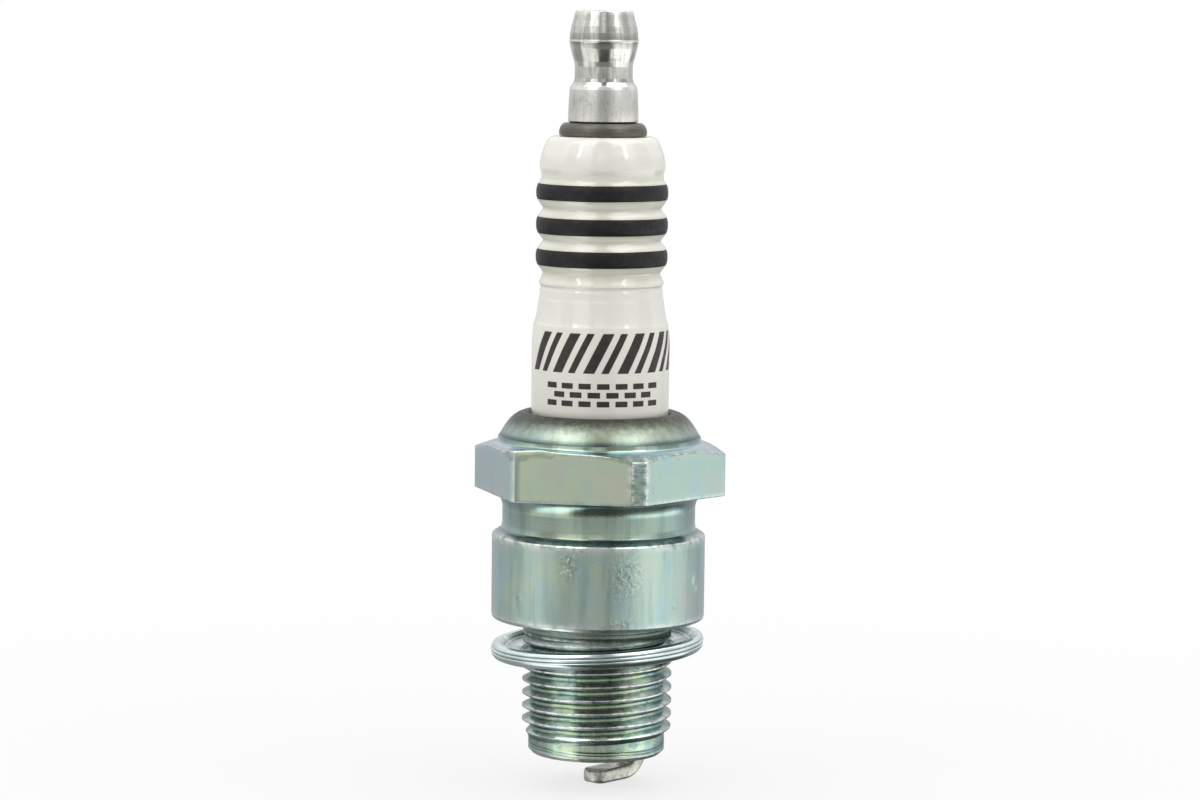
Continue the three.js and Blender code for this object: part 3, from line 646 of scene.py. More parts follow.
def build_shell():
    cols = hex_outline()
    steps = thread_steps(6.25, 7.0, 0.3125, 0.390625, 0.15625, 0.16, 0.045, 4)
    shoulder = [
        (9.505, hex_top(9.505), 0.24, 6), (9.44, 17.08, 0.03, 2), (9.35, 17.125, 0.03, 2), (9.30, 17.20, 0.06, 2), (9.12, 17.54, 0, 1), (8.90, 17.90, 0, 1),
        (8.66, 18.25, 0, 1), (8.38, 18.60, 0, 1), (8.03, 18.92, 0, 1), (7.66, 19.16, 0, 1), (7.28, 19.31, 0, 1), (6.98, 19.35, 0, 1),
        (6.72, 19.29, 0, 1), (6.56, 19.15, 0, 1), (6.50, 18.95, 0, 1), (6.50, 18.8, 0, 1), (6.62, 18.6, 0, 1), (6.9, 18.38, 0, 1), (7.2, 18.02, 0, 1),
        (7.3, 17.72, 0.1, 2), (7.3, 3.8, 0.1, 2), (5.3, 2.1, 0.1, 2), (5.3, -3.364, 0.1, 2), (4.4, -4.406, 0.1, 2), (4.4, -12.4, 0.05, 2), (4.7, -12.7, 0.05, 2),
    ]
    lower = [(4.7, -12.7), (4.78, -12.7), (6.025, -12.7, 0.08, 3), (6.375, -12.35, 0.1, 3), (6.375, -12.10, 0, 1), (6.345, -12.06, 0, 1), (6.375, -12.02, 0, 1), (6.378, -11.86, 0, 1), (6.35, -11.82, 0, 1), (6.38, -11.78, 0, 1), (6.378, -11.60, 0, 1), (6.375, -11.38)]
    body = [
        (6.92, -1.36, 0.05, 2), (6.92, -1.04, 0, 1), (6.955, -0.97, 0, 1), (6.925, -0.88, 0, 1), (6.92, -0.64, 0, 1), (6.95, -0.58, 0, 1), (6.92, -0.50, 0, 1), (6.92, -0.12, 0, 1), (7.0, 0.0, 0, 1), (9.60, 0.0, 0.06, 2), (9.83, 0.09, 0.12, 3), (9.95, 0.34, 0.16, 3), (9.95, 7.80, 0.12, 3),
        (9.86, 7.95, 0.10, 3), (9.28, 8.33, 0.14, 4), (9.09, 8.50, 0.30, 5), (9.0, 8.98, 0.70, 6),
    ] + [(10.0 - math.cos(math.radians(x)), HEX_Z0 - 1.55 + 1.55 * math.sin(math.radians(x)), 0, 1) for x in (0, 7, 14, 21, 28, 36, 45, 56, 70, 90)]
    grid, turned, crest, forged = [], [], [], []
    for t, r_hex in cols:
        share, phi = t / 360.0, t - 90.0
        low, _ = rounded(lower)
        rows = thread_rows(share, -11.38, -1.36, 6.375, 6.92, 1.25, steps)
        # the corner at -120 degrees was left a little fuller by the forming die
        off = (phi + 120 + 180) % 360 - 180
        full = 0.80 * (1 - off / 60) if 0 <= off < 60 else (0.80 * float(smooth((off + 14) / 14)) if -14 < off < 0 else 0.0)
        z_top = hex_top(r_hex) + full * min(1.0, (r_hex - 10.2) / 0.9 + 0.25)
        hexagon = [(r_hex, HEX_Z0, 0.12, 4), (r_hex, z_top, 0.15, 4)]
        high, _ = rounded([(6.92, -1.37)] + body + hexagon + shoulder + [(4.78, -12.7)])
        high = high[1:-1]
        # rows are added where a dent or the worn corner needs them
        pieces = []
        for i in range(len(high)):
            pieces.append(high[i])
            if i + 1 < len(high):
                a, b = high[i], high[i + 1]
                key = None
                if a[1] > 0.3 and b[1] < 7.8 and a[0] > 9.9:
                    key = 22
                elif a[0] > 9.05 and HEX_Z0 <= a[1] < 12.1 and b[1] > 14 and abs(a[0] - b[0]) < 1e-6:
                    key = 14
                if key:
                    for k in range(1, key):
                        pieces.append(a + (b - a) * k / key)
        line = np.array([tuple(p) for p in low] + rows + [tuple(p) for p in pieces])
        r, z = line[:, 0].copy(), line[:, 1].copy()
        is_hex = np.zeros(len(r))
        is_crest = np.zeros(len(r))
        is_forged = np.zeros(len(r))
        for i in range(len(r)):
            if -11.2 < z[i] < -1.5 and r[i] > 6.93:
                is_crest[i] = 1.0
            if HEX_Z0 + 0.02 < z[i] < z_top + 0.6 and r[i] > 9.9:
                is_hex[i] = 1.0
            if r[i] > 9.9 and 0.2 < z[i] < 7.9:
                r[i] -= ding(phi, z[i], -126.5, 2.0, 1.7, 1.0, 0.075) + ding(phi, z[i], -88.0, 5.9, 2.6, 0.25, 0.02)
            if r[i] > 6.6 and -11 < z[i] < -1.5:
                r[i] -= ding(phi, z[i], -4.0, -5.3, 6.0, 0.28, 0.16)
            if abs((phi + 60 + 180) % 360 - 180) < 3.35 and 12.0 < z[i] < 15.6 and r[i] > 11:
                g = math.sin(z[i] * 7.3 + 0.9 * math.sin(phi * 0.9)) * 0.5 + math.sin(z[i] * 15.0 + phi * 0.6) * 0.3
                r[i] += 0.022 * g
                is_forged[i] = 1.0
        a = math.radians(t)
        grid.append(np.stack([r * math.sin(a), -r * math.cos(a), z], -1))
        turned.append(1.0 - is_hex)
        crest.append(is_crest)
        forged.append(is_forged)
    grid = np.array(grid)  # columns, rows, 3
    n_cols, n_rows = grid.shape[:2]
    verts = grid.transpose(1, 0, 2).reshape(-1, 3)
    faces = grid_faces(n_rows, n_cols, False, False)
    # the last row joins the first one, at the nose bore's lower edge
    last, j = (n_rows - 1) * n_cols, np.arange(n_cols - 1)
    faces = np.concatenate([faces, np.stack([last + j, last + j + 1, j + 1, j], -1)])
    ob = finish_mesh("shell_body", verts, faces.tolist(), None, [zinc], None, merge=True, sharp=50.0)
    me = ob.data
    co = coords(me) / MM
    co[:, 2] -= SEAT
    r = np.hypot(co[:, 0], co[:, 1])
    phi = np.degrees(np.arctan2(co[:, 1], co[:, 0]))
    z = co[:, 2]
    on_hex = (r > 10.02) & (z > HEX_Z0 - 0.02) & (z < 16.75)
    facet = on_hex & (z < hex_top(r) - 0.10)
    chamfer = (r > 9.55) & (z > 15.6) & (z < 16.75) & ~facet
    off = lambda at: (phi - at + 180) % 360 - 180
    attribute(me, "turned", np.where(on_hex, 0.0, 1.0))
    attribute(me, "rolled", np.interp(z, [-12.0, -11.2, -1.6, -1.3], [0.5, 1.0, 1.0, 0.4]) * (z < -0.1))
    attribute(me, "crest", ((r > 6.93) & (z > -11.2) & (z < -1.5)).astype(float))
    attribute(me, "forged", ((np.abs(off(-60)) < 3.5) & (r > 11.2)).astype(float))
    polish = np.interp(z, [-12.7, -1.6, -1.35, 0.0, 0.25, 0.4, 7.75, 7.95, 8.5, 9.2, 10.3, 10.7, 11.8, 17.0, 17.2, 18.2, 18.9, 19.4], [1, 1, 0.38, 0.38, 0.5, 0.05, 0.05, 0.7, 0.9, 0.28, 0.28, 0.8, 1.0, 1.0, 0.6, 0.45, 0.25, 0.2])
    attribute(me, "polish", np.where(facet, 0.16, np.where(chamfer, 0.85, polish)))
    attribute(me, "lip", np.interp(z, [17.12, 17.25, 17.9, 18.9, 19.3], [0.0, 0.25, 0.40, 1.0, 1.0]))
    # painted shade by height: darker in the run-out above the seat, in the groove at the body's top edge, on the neck
    # under the hexagon and a little on the thread; above 17 mm a dark painted crease under the dome and more painted
    # shade towards the insulator
    shade = np.interp(z, [-12.7, -12.2, -11.4, -11.2, -1.6, -1.4, -0.06, 0.0, 0.25, 7.72, 7.95, 8.06, 8.42, 8.60, 9.1, 10.3, 10.55, 11.8], [1.0, 1.0, 1.0, 0.94, 0.92, 0.50, 0.50, 0.8, 1.0, 0.98, 0.62, 0.38, 0.38, 0.95, 0.75, 0.73, 1.0, 1.0])
    shade = np.where(z > 17.0, np.interp(z, [17.05, 17.09, 17.19, 17.26, 17.7, 18.2, 18.8, 19.1], [0.8, 0.25, 0.25, 0.88, 0.80, 0.64, 0.34, 0.24]), shade)
    # painted light and shade on the neck: darker on its left and lighter in front, to even out its reflections
    shade = np.where((r < 9.7) & (z > 8.4) & (z < 10.7), shade * (1 - 0.33 * np.exp(-((off(-108) / 14.0) ** 2)) + 0.36 * np.exp(-((off(-77) / 14.0) ** 2))), shade)
    # painted reflections on the round body: darker vertical bands at -97, -110 and -22 degrees, lighter ones at -80 and
    # -55
    shade = np.where((r > 9.8) & (z > 0.2) & (z < 7.9), shade * (1 - 0.30 * np.exp(-((off(-97) / 8.0) ** 2)) - 0.07 * np.exp(-((off(-110) / 8.0) ** 2)) + 0.21 * np.exp(-((off(-55) / 15.0) ** 2)) + 0.27 * np.exp(-((off(-80) / 7.0) ** 2)) - 0.09 * np.exp(-((off(-22) / 9.0) ** 2))), shade)
    # painted reflections on the thread: a darker band just right of the front, lighter bands to either side of it, and
    # a darker one far to the left
    painted_dark_band = smooth((off(-60) + 12) / 5) * smooth((8 - off(-60)) / 5)
    painted_light_band = smooth((off(-40) + 10) / 5) * smooth((10 - off(-40)) / 5)
    painted_highlight_left = smooth((off(-107) + 12) / 4) * smooth((12 - off(-107)) / 4)
    painted_shade_far_left = smooth((off(-135) + 17) / 6) * smooth((15 - off(-135)) / 5)
    shade = np.where((r < 7.3) & (z < -1.4), shade * (1 - 0.22 * painted_dark_band + 0.26 * painted_light_band + 0.14 * painted_highlight_left - 0.20 * painted_shade_far_left), shade)
    # a bruise on the first turn of the thread
    shade = np.where((r < 7.3) & (z < -2.5), shade * (1 - 0.8 * np.exp(-((off(-18) / 5.0) ** 2) - ((z + 4.3) / 0.5) ** 2)), shade)
    # a painted highlight on the shoulder's dome at the left, with a fainter painted light patch below it
    shade = np.where(z > 17.3, shade * (1 + 0.60 * np.exp(-((off(-104) / 13.0) ** 2) - ((z - 18.55) / 0.30) ** 2) + 0.22 * np.exp(-((off(-112) / 22.0) ** 2) - ((z - 17.9) / 0.5) ** 2)), shade)
    worn_corner = (np.abs(off(-60)) < 3.0) & (r > 11.2)
    # painted shade on the hexagon's chamfers; the worn corner's greyer tone is its own
    attribute(me, "shade", np.where(chamfer & (z < 16.45), 0.62, np.where(worn_corner, 0.72, np.where(facet, 0.98, shade))))
    attribute(me, "olive", (facet & (np.abs(off(-90)) < 27.5)).astype(float))
    on_body = (r > 9.8) & (z > 0.2) & (z < 7.9)
    spot = lambda at, wide, height, tall: np.exp(-((off(at) / wide) ** 2) - ((z - height) / tall) ** 2)
    pitted = 1.1 * spot(-94, 5.0, 6.3, 1.4) + 1.1 * spot(-63, 8.5, 5.2, 2.0) + 0.9 * spot(-66, 8.0, 0.75, 0.5) + 0.9 * spot(-125, 1.4, 2.6, 0.8) + 0.6 * spot(-33, 2.5, 2.2, 0.7)
    attribute(me, "pitted", np.where(on_body, np.clip(pitted, 0, 1), 0.0))
    lines = sum(k * np.exp(-((off(at) / w) ** 2)) for at, w, k in ((-97, 3.0, 0.85), (-84, 5.0, 0.42), (-78, 1.8, 0.22), (-107, 1.6, 0.45), (-40, 2.0, 0.4), (20, 3.0, 0.7), (75, 2.4, 0.8), (130, 3.5, 0.8), (-160, 2.5, 0.6)))
    attribute(me, "streak", np.where(on_body, np.clip(lines, 0, 1), 0.0))
    # rubbed edges beside the worn corner and along the hexagon's foot, and a scuffed line beside the full corner
    wear = np.zeros(len(co), np.float32)
    me.attributes["wear"].data.foreach_get("value", wear)
    wear = np.where(on_hex & (np.abs(np.abs(off(-60)) - 3.45) < 0.42), 0.9, wear)
    wear = np.where(on_hex & (z < HEX_Z0 + 0.10), 0.85, wear)
    wear = np.where(on_body, np.clip(wear + 2.0 * spot(-16, 1.3, 4.3, 0.45) + 1.8 * spot(-12.5, 1.0, 3.6, 0.3), 0, 1), wear)
    wear = np.where(((z > 16.55) & (z < 17.3)) | ((z > -1.35) & (z < -0.05) & (r < 7.2)), 0.0, wear)
    attribute(me, "wear", wear)
    hollow = np.zeros(len(co), np.float32)
    me.attributes["cavity"].data.foreach_get("value", hollow)
    hollow = np.where((z > -1.35) & (z < -0.05), hollow * 0.35, hollow)
    attribute(me, "cavity", np.where(facet & (np.abs(off(-117.2)) < 0.8), 0.8, hollow))
    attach(ob, "plug")
    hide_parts("metal_shell")
    return ob


build_shell()

# ------------------------------------------------------------------ insulator
RIB = [(0.0, 6.11), (0.3, 6.095), (0.55, 6.04), (0.72, 5.975), (0.91, 5.88), (1.08, 5.75), (1.24, 5.62), (1.36, 5.54), (1.48, 5.50)]
BANDS = [(33.03, 34.53), (35.95, 37.50), (39.10, 40.58)]
outer = [
    (6.4, 20.3), (6.4, 25.4), (6.395, 25.75), (6.355, 26.4), (6.29, 27.1), (6.235, 27.58), (6.17, 27.74), (6.115, 27.92), (5.98, 28.6), (5.87, 29.3),
    (5.79, 29.86), (5.75, 30.02), (5.725, 30.2), (5.705, 30.72), (5.64, 30.92), (5.63, 31.04), (5.70, 31.16), (5.795, 31.27), (5.80, 31.40), (5.74, 31.56), (5.63, 31.8), (5.545, 32.05),
    (5.50, 32.28),
]
for k, zc in enumerate((33.80, 36.76, 39.72)):
    below = [(r, zc - d) for d, r in reversed(RIB[:-1])]
    above = [(r, zc + d) for d, r in RIB[1:-1]]
    outer += below + above
    if k < 2:
        outer.append((5.50, zc + 1.48))
outer = outer[:-4] + [(5.87, 40.66), (5.75, 40.84), (5.68, 41.06), (5.675, 41.34), (5.72, 41.62), (5.79, 41.86), (5.82, 42.08), (5.82, 42.32), (5.79, 42.6), (5.73, 42.98), (5.63, 43.36), (5.50, 43.72), (5.37, 44.07), (5.21, 44.42), (5.08, 44.62), (4.92, 44.78), (4.74, 44.87), (4.6, 44.9)]


def pchip(x, y, xs):
    """A monotone cubic through the points, for a smooth profile with no overshoot."""
    x, y = np.asarray(x, float), np.asarray(y, float)
    h, d = np.diff(x), np.diff(y) / np.diff(x)
    m = np.zeros(len(x))
    m[0], m[-1] = d[0], d[-1]
    for i in range(1, len(x) - 1):
        if d[i - 1] * d[i] > 0:
            w1, w2 = 2 * h[i] + h[i - 1], h[i] + 2 * h[i - 1]
            m[i] = (w1 + w2) / (w1 / d[i - 1] + w2 / d[i])
    i = np.clip(np.searchsorted(x, xs) - 1, 0, len(h) - 1)
    t = (xs - x[i]) / h[i]
    return (1 + 2 * t) * (1 - t) ** 2 * y[i] + t * (1 - t) ** 2 * h[i] * m[i] + t * t * (3 - 2 * t) * y[i + 1] + t * t * (t - 1) * h[i] * m[i + 1]


curve_z = np.array([p[1] for p in outer])
curve_r = np.array([p[0] for p in outer])


def glaze_radius(z):
    return np.where(np.asarray(z) <= 25.4, 6.4, pchip(curve_z, curve_r, np.clip(z, 20.3, 44.9)))


def out_of_round(th, z):
    """Pressed and ground ceramic is not perfectly round: a few micrometres of lobing."""
    k = smooth((z - 19.8) / 1.5) * smooth((44.5 - z) / 1.0)
    return k * (wobble(th + z * 0.11, 11, 3) * 0.006 + wobble(th - z * 0.3, 12, 5) * 0.002)


def build_insulator():
    fine = set(np.round(np.arange(20.3, 44.55, 0.11), 4)) | {round(float(z), 4) for z in curve_z if z < 44.6}
    for lo, hi in BANDS:
        for e in (lo, hi):
            fine = {z for z in fine if abs(z - e) > 0.06}
    zs = sorted(fine)
    rows = [(float(glaze_radius(z)), z, 0.0) for z in zs]
    # a painted band stands a hair proud of the glaze, with a short step at each edge
    for lo, hi in BANDS:
        rows = [(r + 0.012, z, 1.0) if lo < z < hi else (r, z, p) for r, z, p in rows]
        rows += [(float(glaze_radius(lo)), lo - 0.012, 0.0), (float(glaze_radius(lo)) + 0.012, lo + 0.006, 1.0)]
        rows += [(float(glaze_radius(hi)) + 0.012, hi - 0.006, 0.0), (float(glaze_radius(hi)), hi + 0.012, 0.0)]
    rows.sort(key=lambda p: p[1])
    profile = [
        (1.35, -12.7, 0.05, 2, 2), (2.35, -12.7, 0.06, 2, 2), (2.62, -12.42, 0.1, 2, 2), (3.05, -10, 0, 1, 2), (3.9, -4.8, 0, 1, 2), (4.2, -4.25, 0.1, 2, 2),
        (4.2, -3.95, 0.06, 2, 2), (5.15, -2.85, 0.08, 2, 2), (5.15, 2.2, 0.1, 2, 2), (7.15, 3.9, 0.1, 2, 2), (7.15, 12.4, 0.1, 2, 2), (6.4, 13.6, 0.1, 2, 2), (6.4, 18.2, 0, 1, 0),
    ]
    profile += [(r, z, 0.0, 1, int(p)) for r, z, p in rows]
    top = [(r, z, 0.0, 1, 0) for r, z in outer if z > 44.6]
    profile += top + [(2.12, 44.9, 0.08, 2, 2), (2.0, 44.75, 0, 1, 2), (2.0, 5.2, 0.1, 2, 2), (1.35, 4.6, 0.1, 2, 2)]

    def shape(r, z, th):
        edge = np.zeros_like(z)
        for lo, hi in BANDS:
            for e in (lo, hi):
                edge += np.exp(-(((z - e) / 0.05) ** 2)) * wobble(th, int(e * 10), 6) * 0.010
        return r + out_of_round(th, z), z + edge

    ob = lathe("insulator_body", profile, [glaze, band, alumina], "plug", "insulator", "insulator_glaze", cols=224, ring=True, shape=shape, sharp=60.0)
    co = coords(ob.data) / MM
    z, r = co[:, 2] - SEAT, np.hypot(co[:, 0], co[:, 1])
    near = np.zeros(len(z))
    for lo, hi in BANDS:
        for e in (lo, hi):
            near = np.maximum(near, 1 - np.clip(np.abs(z - e) / 0.42, 0, 1))
    hollow = np.clip((5.83 - r) / 0.33, 0, 1) * (z > 31.2) * (z < 41.75)
    attribute(ob.data, "groove", np.clip(0.56 * hollow + 0.85 * near ** 1.5, 0, 1) * (z > 18))
    return ob


build_insulator()


def patch(verts, faces, corners, lift=0.014, deep=0.03, nx=6, nz=6):
    """A thin closed patch on the glaze. Corners are (arc in mm from the camera's direction, height) at lower left, lower right, upper right and upper left."""
    base = len(verts)
    c = np.array(corners, float)
    for layer in (lift, -deep):
        for iz in range(nz + 1):
            for ix in range(nx + 1):
                u, v = ix / nx, iz / nz
                q = (1 - v) * ((1 - u) * c[0] + u * c[1]) + v * ((1 - u) * c[3] + u * c[2])
                edge = min(u, 1 - u, v, 1 - v) < 1e-9
                a = math.radians(CAMERA_PHI) + q[0] / 6.4
                r = float(glaze_radius(q[1])) + float(out_of_round(np.array(a), np.array(q[1]))) + (layer * 0.45 if edge and layer > 0 else layer)
                verts.append((r * math.cos(a), r * math.sin(a), q[1]))
    w = nx + 1
    size = w * (nz + 1)
    for iz in range(nz):
        for ix in range(nx):
            a = base + iz * w + ix
            faces.append((a, a + 1, a + 1 + w, a + w))
            b = a + size
            faces.append((b, b + w, b + 1 + w, b + 1))
    rim = [base + i for i in range(nx)] + [base + nx + i * w for i in range(nz)] + [base + nz * w + nx - i for i in range(nx)] + [base + (nz - i) * w for i in range(nz)]
    for i, a in enumerate(rim):
        b = rim[(i + 1) % len(rim)]
        faces.append((b, a, a + size, b + size))


def build_print():
    """A plain decorative print: a belt of slanted bars over three staggered rows of short dashes, like brickwork."""
    verts, faces = [], []
    lean = math.tan(math.radians(27))
    z0, z1 = 23.45, 27.1
    at, k = -7.95, 0
    widths = [1.05, 0.68]
    while at < 8.55:
        w = widths[k % 2]
        s0 = at
        patch(verts, faces, [(s0, z0), (s0 + w, z0), (s0 + w + (z1 - z0) * lean, z1), (s0 + (z1 - z0) * lean, z1)], nx=5, nz=16)
        at += w + (0.80 if k % 2 else 0.64)
        k += 1
    for first, count, lo, hi in ((-5.45, 7, 20.38, 20.90), (-4.59, 6, 21.19, 21.71), (-5.45, 7, 22.00, 22.52)):
        for i in range(count):
            s = first + i * 1.72
            patch(verts, faces, [(s, lo), (s + 1.15, lo), (s + 1.15, hi), (s, hi)], nx=4, nz=2)
    return finish_mesh("insulator_print", verts, faces, None, [ink], "plug", None, "insulator_glaze", sharp=60.0)


build_print()

# ------------------------------------------------------------------ terminal stud, with its collar and thread
def helical(name, low_part, high_part, span, radii, pitch, steps, materials, tone_of, cols, body, node, slot, lead=1.0, fade=0.7, inside=False, sharp=50.0):
    grid = []
    for j in range(cols + 1):
        t = j / cols
        rows = thread_rows(t, span[0], span[1], radii[0], radii[1], pitch, steps, lead, fade)
        if inside:
            rows = rows[::-1]
        line = np.array([tuple(p) for p in low_part] + rows + [tuple(p) for p in high_part])
        a = 2 * math.pi * t
        grid.append(np.stack([line[:, 0] * math.sin(a), -line[:, 0] * math.cos(a), line[:, 1]], -1))
    grid = np.array(grid)
    n_cols, n_rows = grid.shape[:2]
    verts = grid.transpose(1, 0, 2).reshape(-1, 3)
    faces = grid_faces(n_rows, n_cols, False, False)
    if inside:
        last, j = (n_rows - 1) * n_cols, np.arange(n_cols - 1)
        faces = np.concatenate([faces, np.stack([last + j, last + j + 1, j + 1, j], -1)])
    z = verts[:, 2][faces].mean(1)
    r = np.hypot(verts[:, 0], verts[:, 1])[faces].mean(1)
    return finish_mesh(name, verts, faces.tolist(), [tone_of(a, b) for a, b in zip(r, z)], materials, body, node, slot, merge=True, sharp=sharp)


def build_stud():
    low, _ = rounded([
        (0, 18.95), (1.2, 18.95, 0.06, 2), (1.42, 19.2, 0.06, 2), (1.42, 21.2, 0.05, 2), (1.85, 21.6, 0.05, 2), (1.85, 44.8, 0.05, 2), (1.95, 44.95, 0.04, 2),
        (4.0, 44.95, 0.05, 3), (4.06, 45.05, 0.05, 3), (4.075, 45.38, 0.12, 3), (3.985, 45.70, 0.12, 3), (3.83, 45.96, 0.10, 3), (3.62, 46.13, 0.10, 3), (3.3, 46.13, 0, 1), (1.78, 46.13, 0.08, 3), (1.62, 46.4),
    ])
    high, _ = rounded([(1.62, 55.0), (1.58, 55.2, 0.05, 2), (1.30, 55.5, 0.06, 3), (0.5, 55.5), (0, 55.5)])
    steps = thread_steps(1.56, 1.93, 0.10, 0.24, 0.12, 0.06, 0.03, 2)
    return helical("stud_with_collar", low, high[0:], (46.45, 54.95), (1.62, 1.62), 0.7, steps, [stud_oxide, stud_thread], lambda r, z: 1 if (z > 46.3 or (r < 1.9 and z < 44.9)) else 0, 64, "plug", "terminal_stud", "stud_dark")


build_stud()


def build_nut():
    outside, _ = rounded([
        (2.35, 46.2), (2.5, 46.2), (3.14, 46.2, 0.06, 3), (3.25, 46.31, 0.06, 3), (3.235, 47.4, 0, 1), (3.19, 48.3, 0, 1), (3.14, 49.22, 0.07, 3), (3.055, 49.50, 0.10, 3),
        (2.76, 49.92, 0.14, 4), (2.685, 50.25, 0.25, 4), (2.675, 51.30, 0.5, 4), (2.76, 51.80, 0.8, 4), (2.93, 52.34, 0, 1), (3.08, 52.98, 0.4, 3), (3.165, 53.50, 0.08, 3), (3.205, 53.60, 0.04, 2), (3.20, 53.74, 0.04, 2), (3.165, 53.80, 0.03, 2),
        (3.13, 54.42, 0.5, 3), (3.02, 55.02, 0.6, 3), (2.865, 55.56, 0.4, 3), (2.745, 56.05, 0.3, 3), (2.66, 56.36, 0.06, 3), (2.55, 56.46, 0.05, 3), (2.28, 56.46, 0.04, 2), (2.16, 56.34, 0.03, 2), (2.16, 56.2),
    ])
    inner = [(2.16, 46.5), (2.18, 46.36)]
    steps = [(0.0, 2.16), (0.12, 2.16), (0.42, 2.0), (0.58, 2.0), (0.88, 2.16)]
    # the bore's thread is walked downwards, from the crown to the foot
    flipped = [(f, r) for f, r in steps]
    return helical("terminal_nut_body", outside, inner, (46.6, 56.1), (2.16, 2.16), 0.7, flipped, [nickel_bright], lambda r, z: 0, 160, "terminal_nut", "terminal_nut", "terminal_bright", inside=True)


build_nut()

# ------------------------------------------------------------------ gasket: folded sheet ring, lying tilted while it is loose
GASKET_MID = -3.16


def build_gasket():
    g = [
        (7.15, -0.60, 0.1, 3), (7.35, -0.82, 0.12, 3), (9.20, -0.82, 0.3, 4), (9.62, -0.66, 0.3, 4), (9.86, -0.36, 0.3, 4), (9.915, -0.10, 0.08, 3), (9.74, -0.005, 0.02, 2),
        (9.95, 0.09, 0.08, 4), (9.95, 0.27, 0.08, 4), (9.75, 0.355, 0.02, 2), (9.88, 0.46, 0.06, 3), (9.73, 0.69, 0.14, 4), (9.45, 0.82, 0.18, 4), (9.08, 0.80, 0.16, 4), (8.82, 0.58, 0.2, 4),
        (8.62, 0.30, 0.06, 3), (8.50, 0.33, 0.05, 3), (8.36, 0.18, 0.05, 3), (7.46, 0.18, 0.12, 3), (7.15, -0.06, 0.1, 3),
    ]
    profile = [(p[0], p[1] + GASKET_MID, p[2], p[3]) for p in g]

    def shape(r, z, th):
        h = z - GASKET_MID
        out = smooth((r - 9.3) / 0.5)
        seam = np.exp(-((h - 0.0) / 0.25) ** 2) * wobble(th, 31, 5) * 0.014 + np.exp(-((h - 0.36) / 0.2) ** 2) * wobble(th, 32, 6) * 0.016
        lip = np.exp(-((r - 8.5) / 0.2) ** 2) * (h > 0)
        return r + out * wobble(th, 33, 4) * 0.008 + lip * wobble(th, 34, 7) * 0.03, z + out * seam

    ob = lathe("gasket_ring", profile, [gasket_zinc], None, None, "gasket_zinc", cols=240, ring=True, shape=shape, sharp=60.0)
    me = ob.data
    co = coords(me)
    a = math.radians(CAMERA_AT)
    dz = np.clip((co[:, 0] * math.cos(a) + co[:, 1] * math.sin(a)) / MM + 9.95, 0, 19.9) * (1.04 / 19.9)
    level = co[:, 2] / MM - SEAT - GASKET_MID
    co[:, 2] += dz * MM
    me.vertices.foreach_set("co", co.astype(np.float32).ravel())
    me.update()
    # the lower roll is painted darker over part of its round, as painted shade under the ring
    at = (np.degrees(np.arctan2(co[:, 1], co[:, 0])) + 58 + 180) % 360 - 180
    painted_dark_roll = smooth((at + 38) / 6) * smooth((44 - at) / 12) * smooth((-0.20 - level) / 0.25) * (np.hypot(co[:, 0], co[:, 1]) / MM > 8.6)
    hollow = np.zeros(len(co), np.float32)
    me.attributes["cavity"].data.foreach_get("value", hollow)
    attribute(me, "cavity", np.maximum(hollow, 0.95 * painted_dark_roll))
    # As the ring slides up it levels, and at the end of its travel it lies flat on the seat.
    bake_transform(ob, "plug", "gasket", start=(0, 0, (SEAT - 4) * MM), end=(0, 0, (SEAT - 2) * MM))
    me.attributes["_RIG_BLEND"].data.foreach_set("value", (1.0 - dz / 2.33).astype(np.float32))
    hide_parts("gasket")
    return ob


build_gasket()

# ------------------------------------------------------------------ ground electrode, with the weld at its foot
STRAP_AT = 60.0


def rounded_rect(half_w, half_t, radius, steps=4):
    pts, _ = rounded([(half_w, -half_t, radius, steps), (half_w, half_t, radius, steps), (-half_w, half_t, radius, steps), (-half_w, -half_t, radius, steps)], closed=True)
    return pts


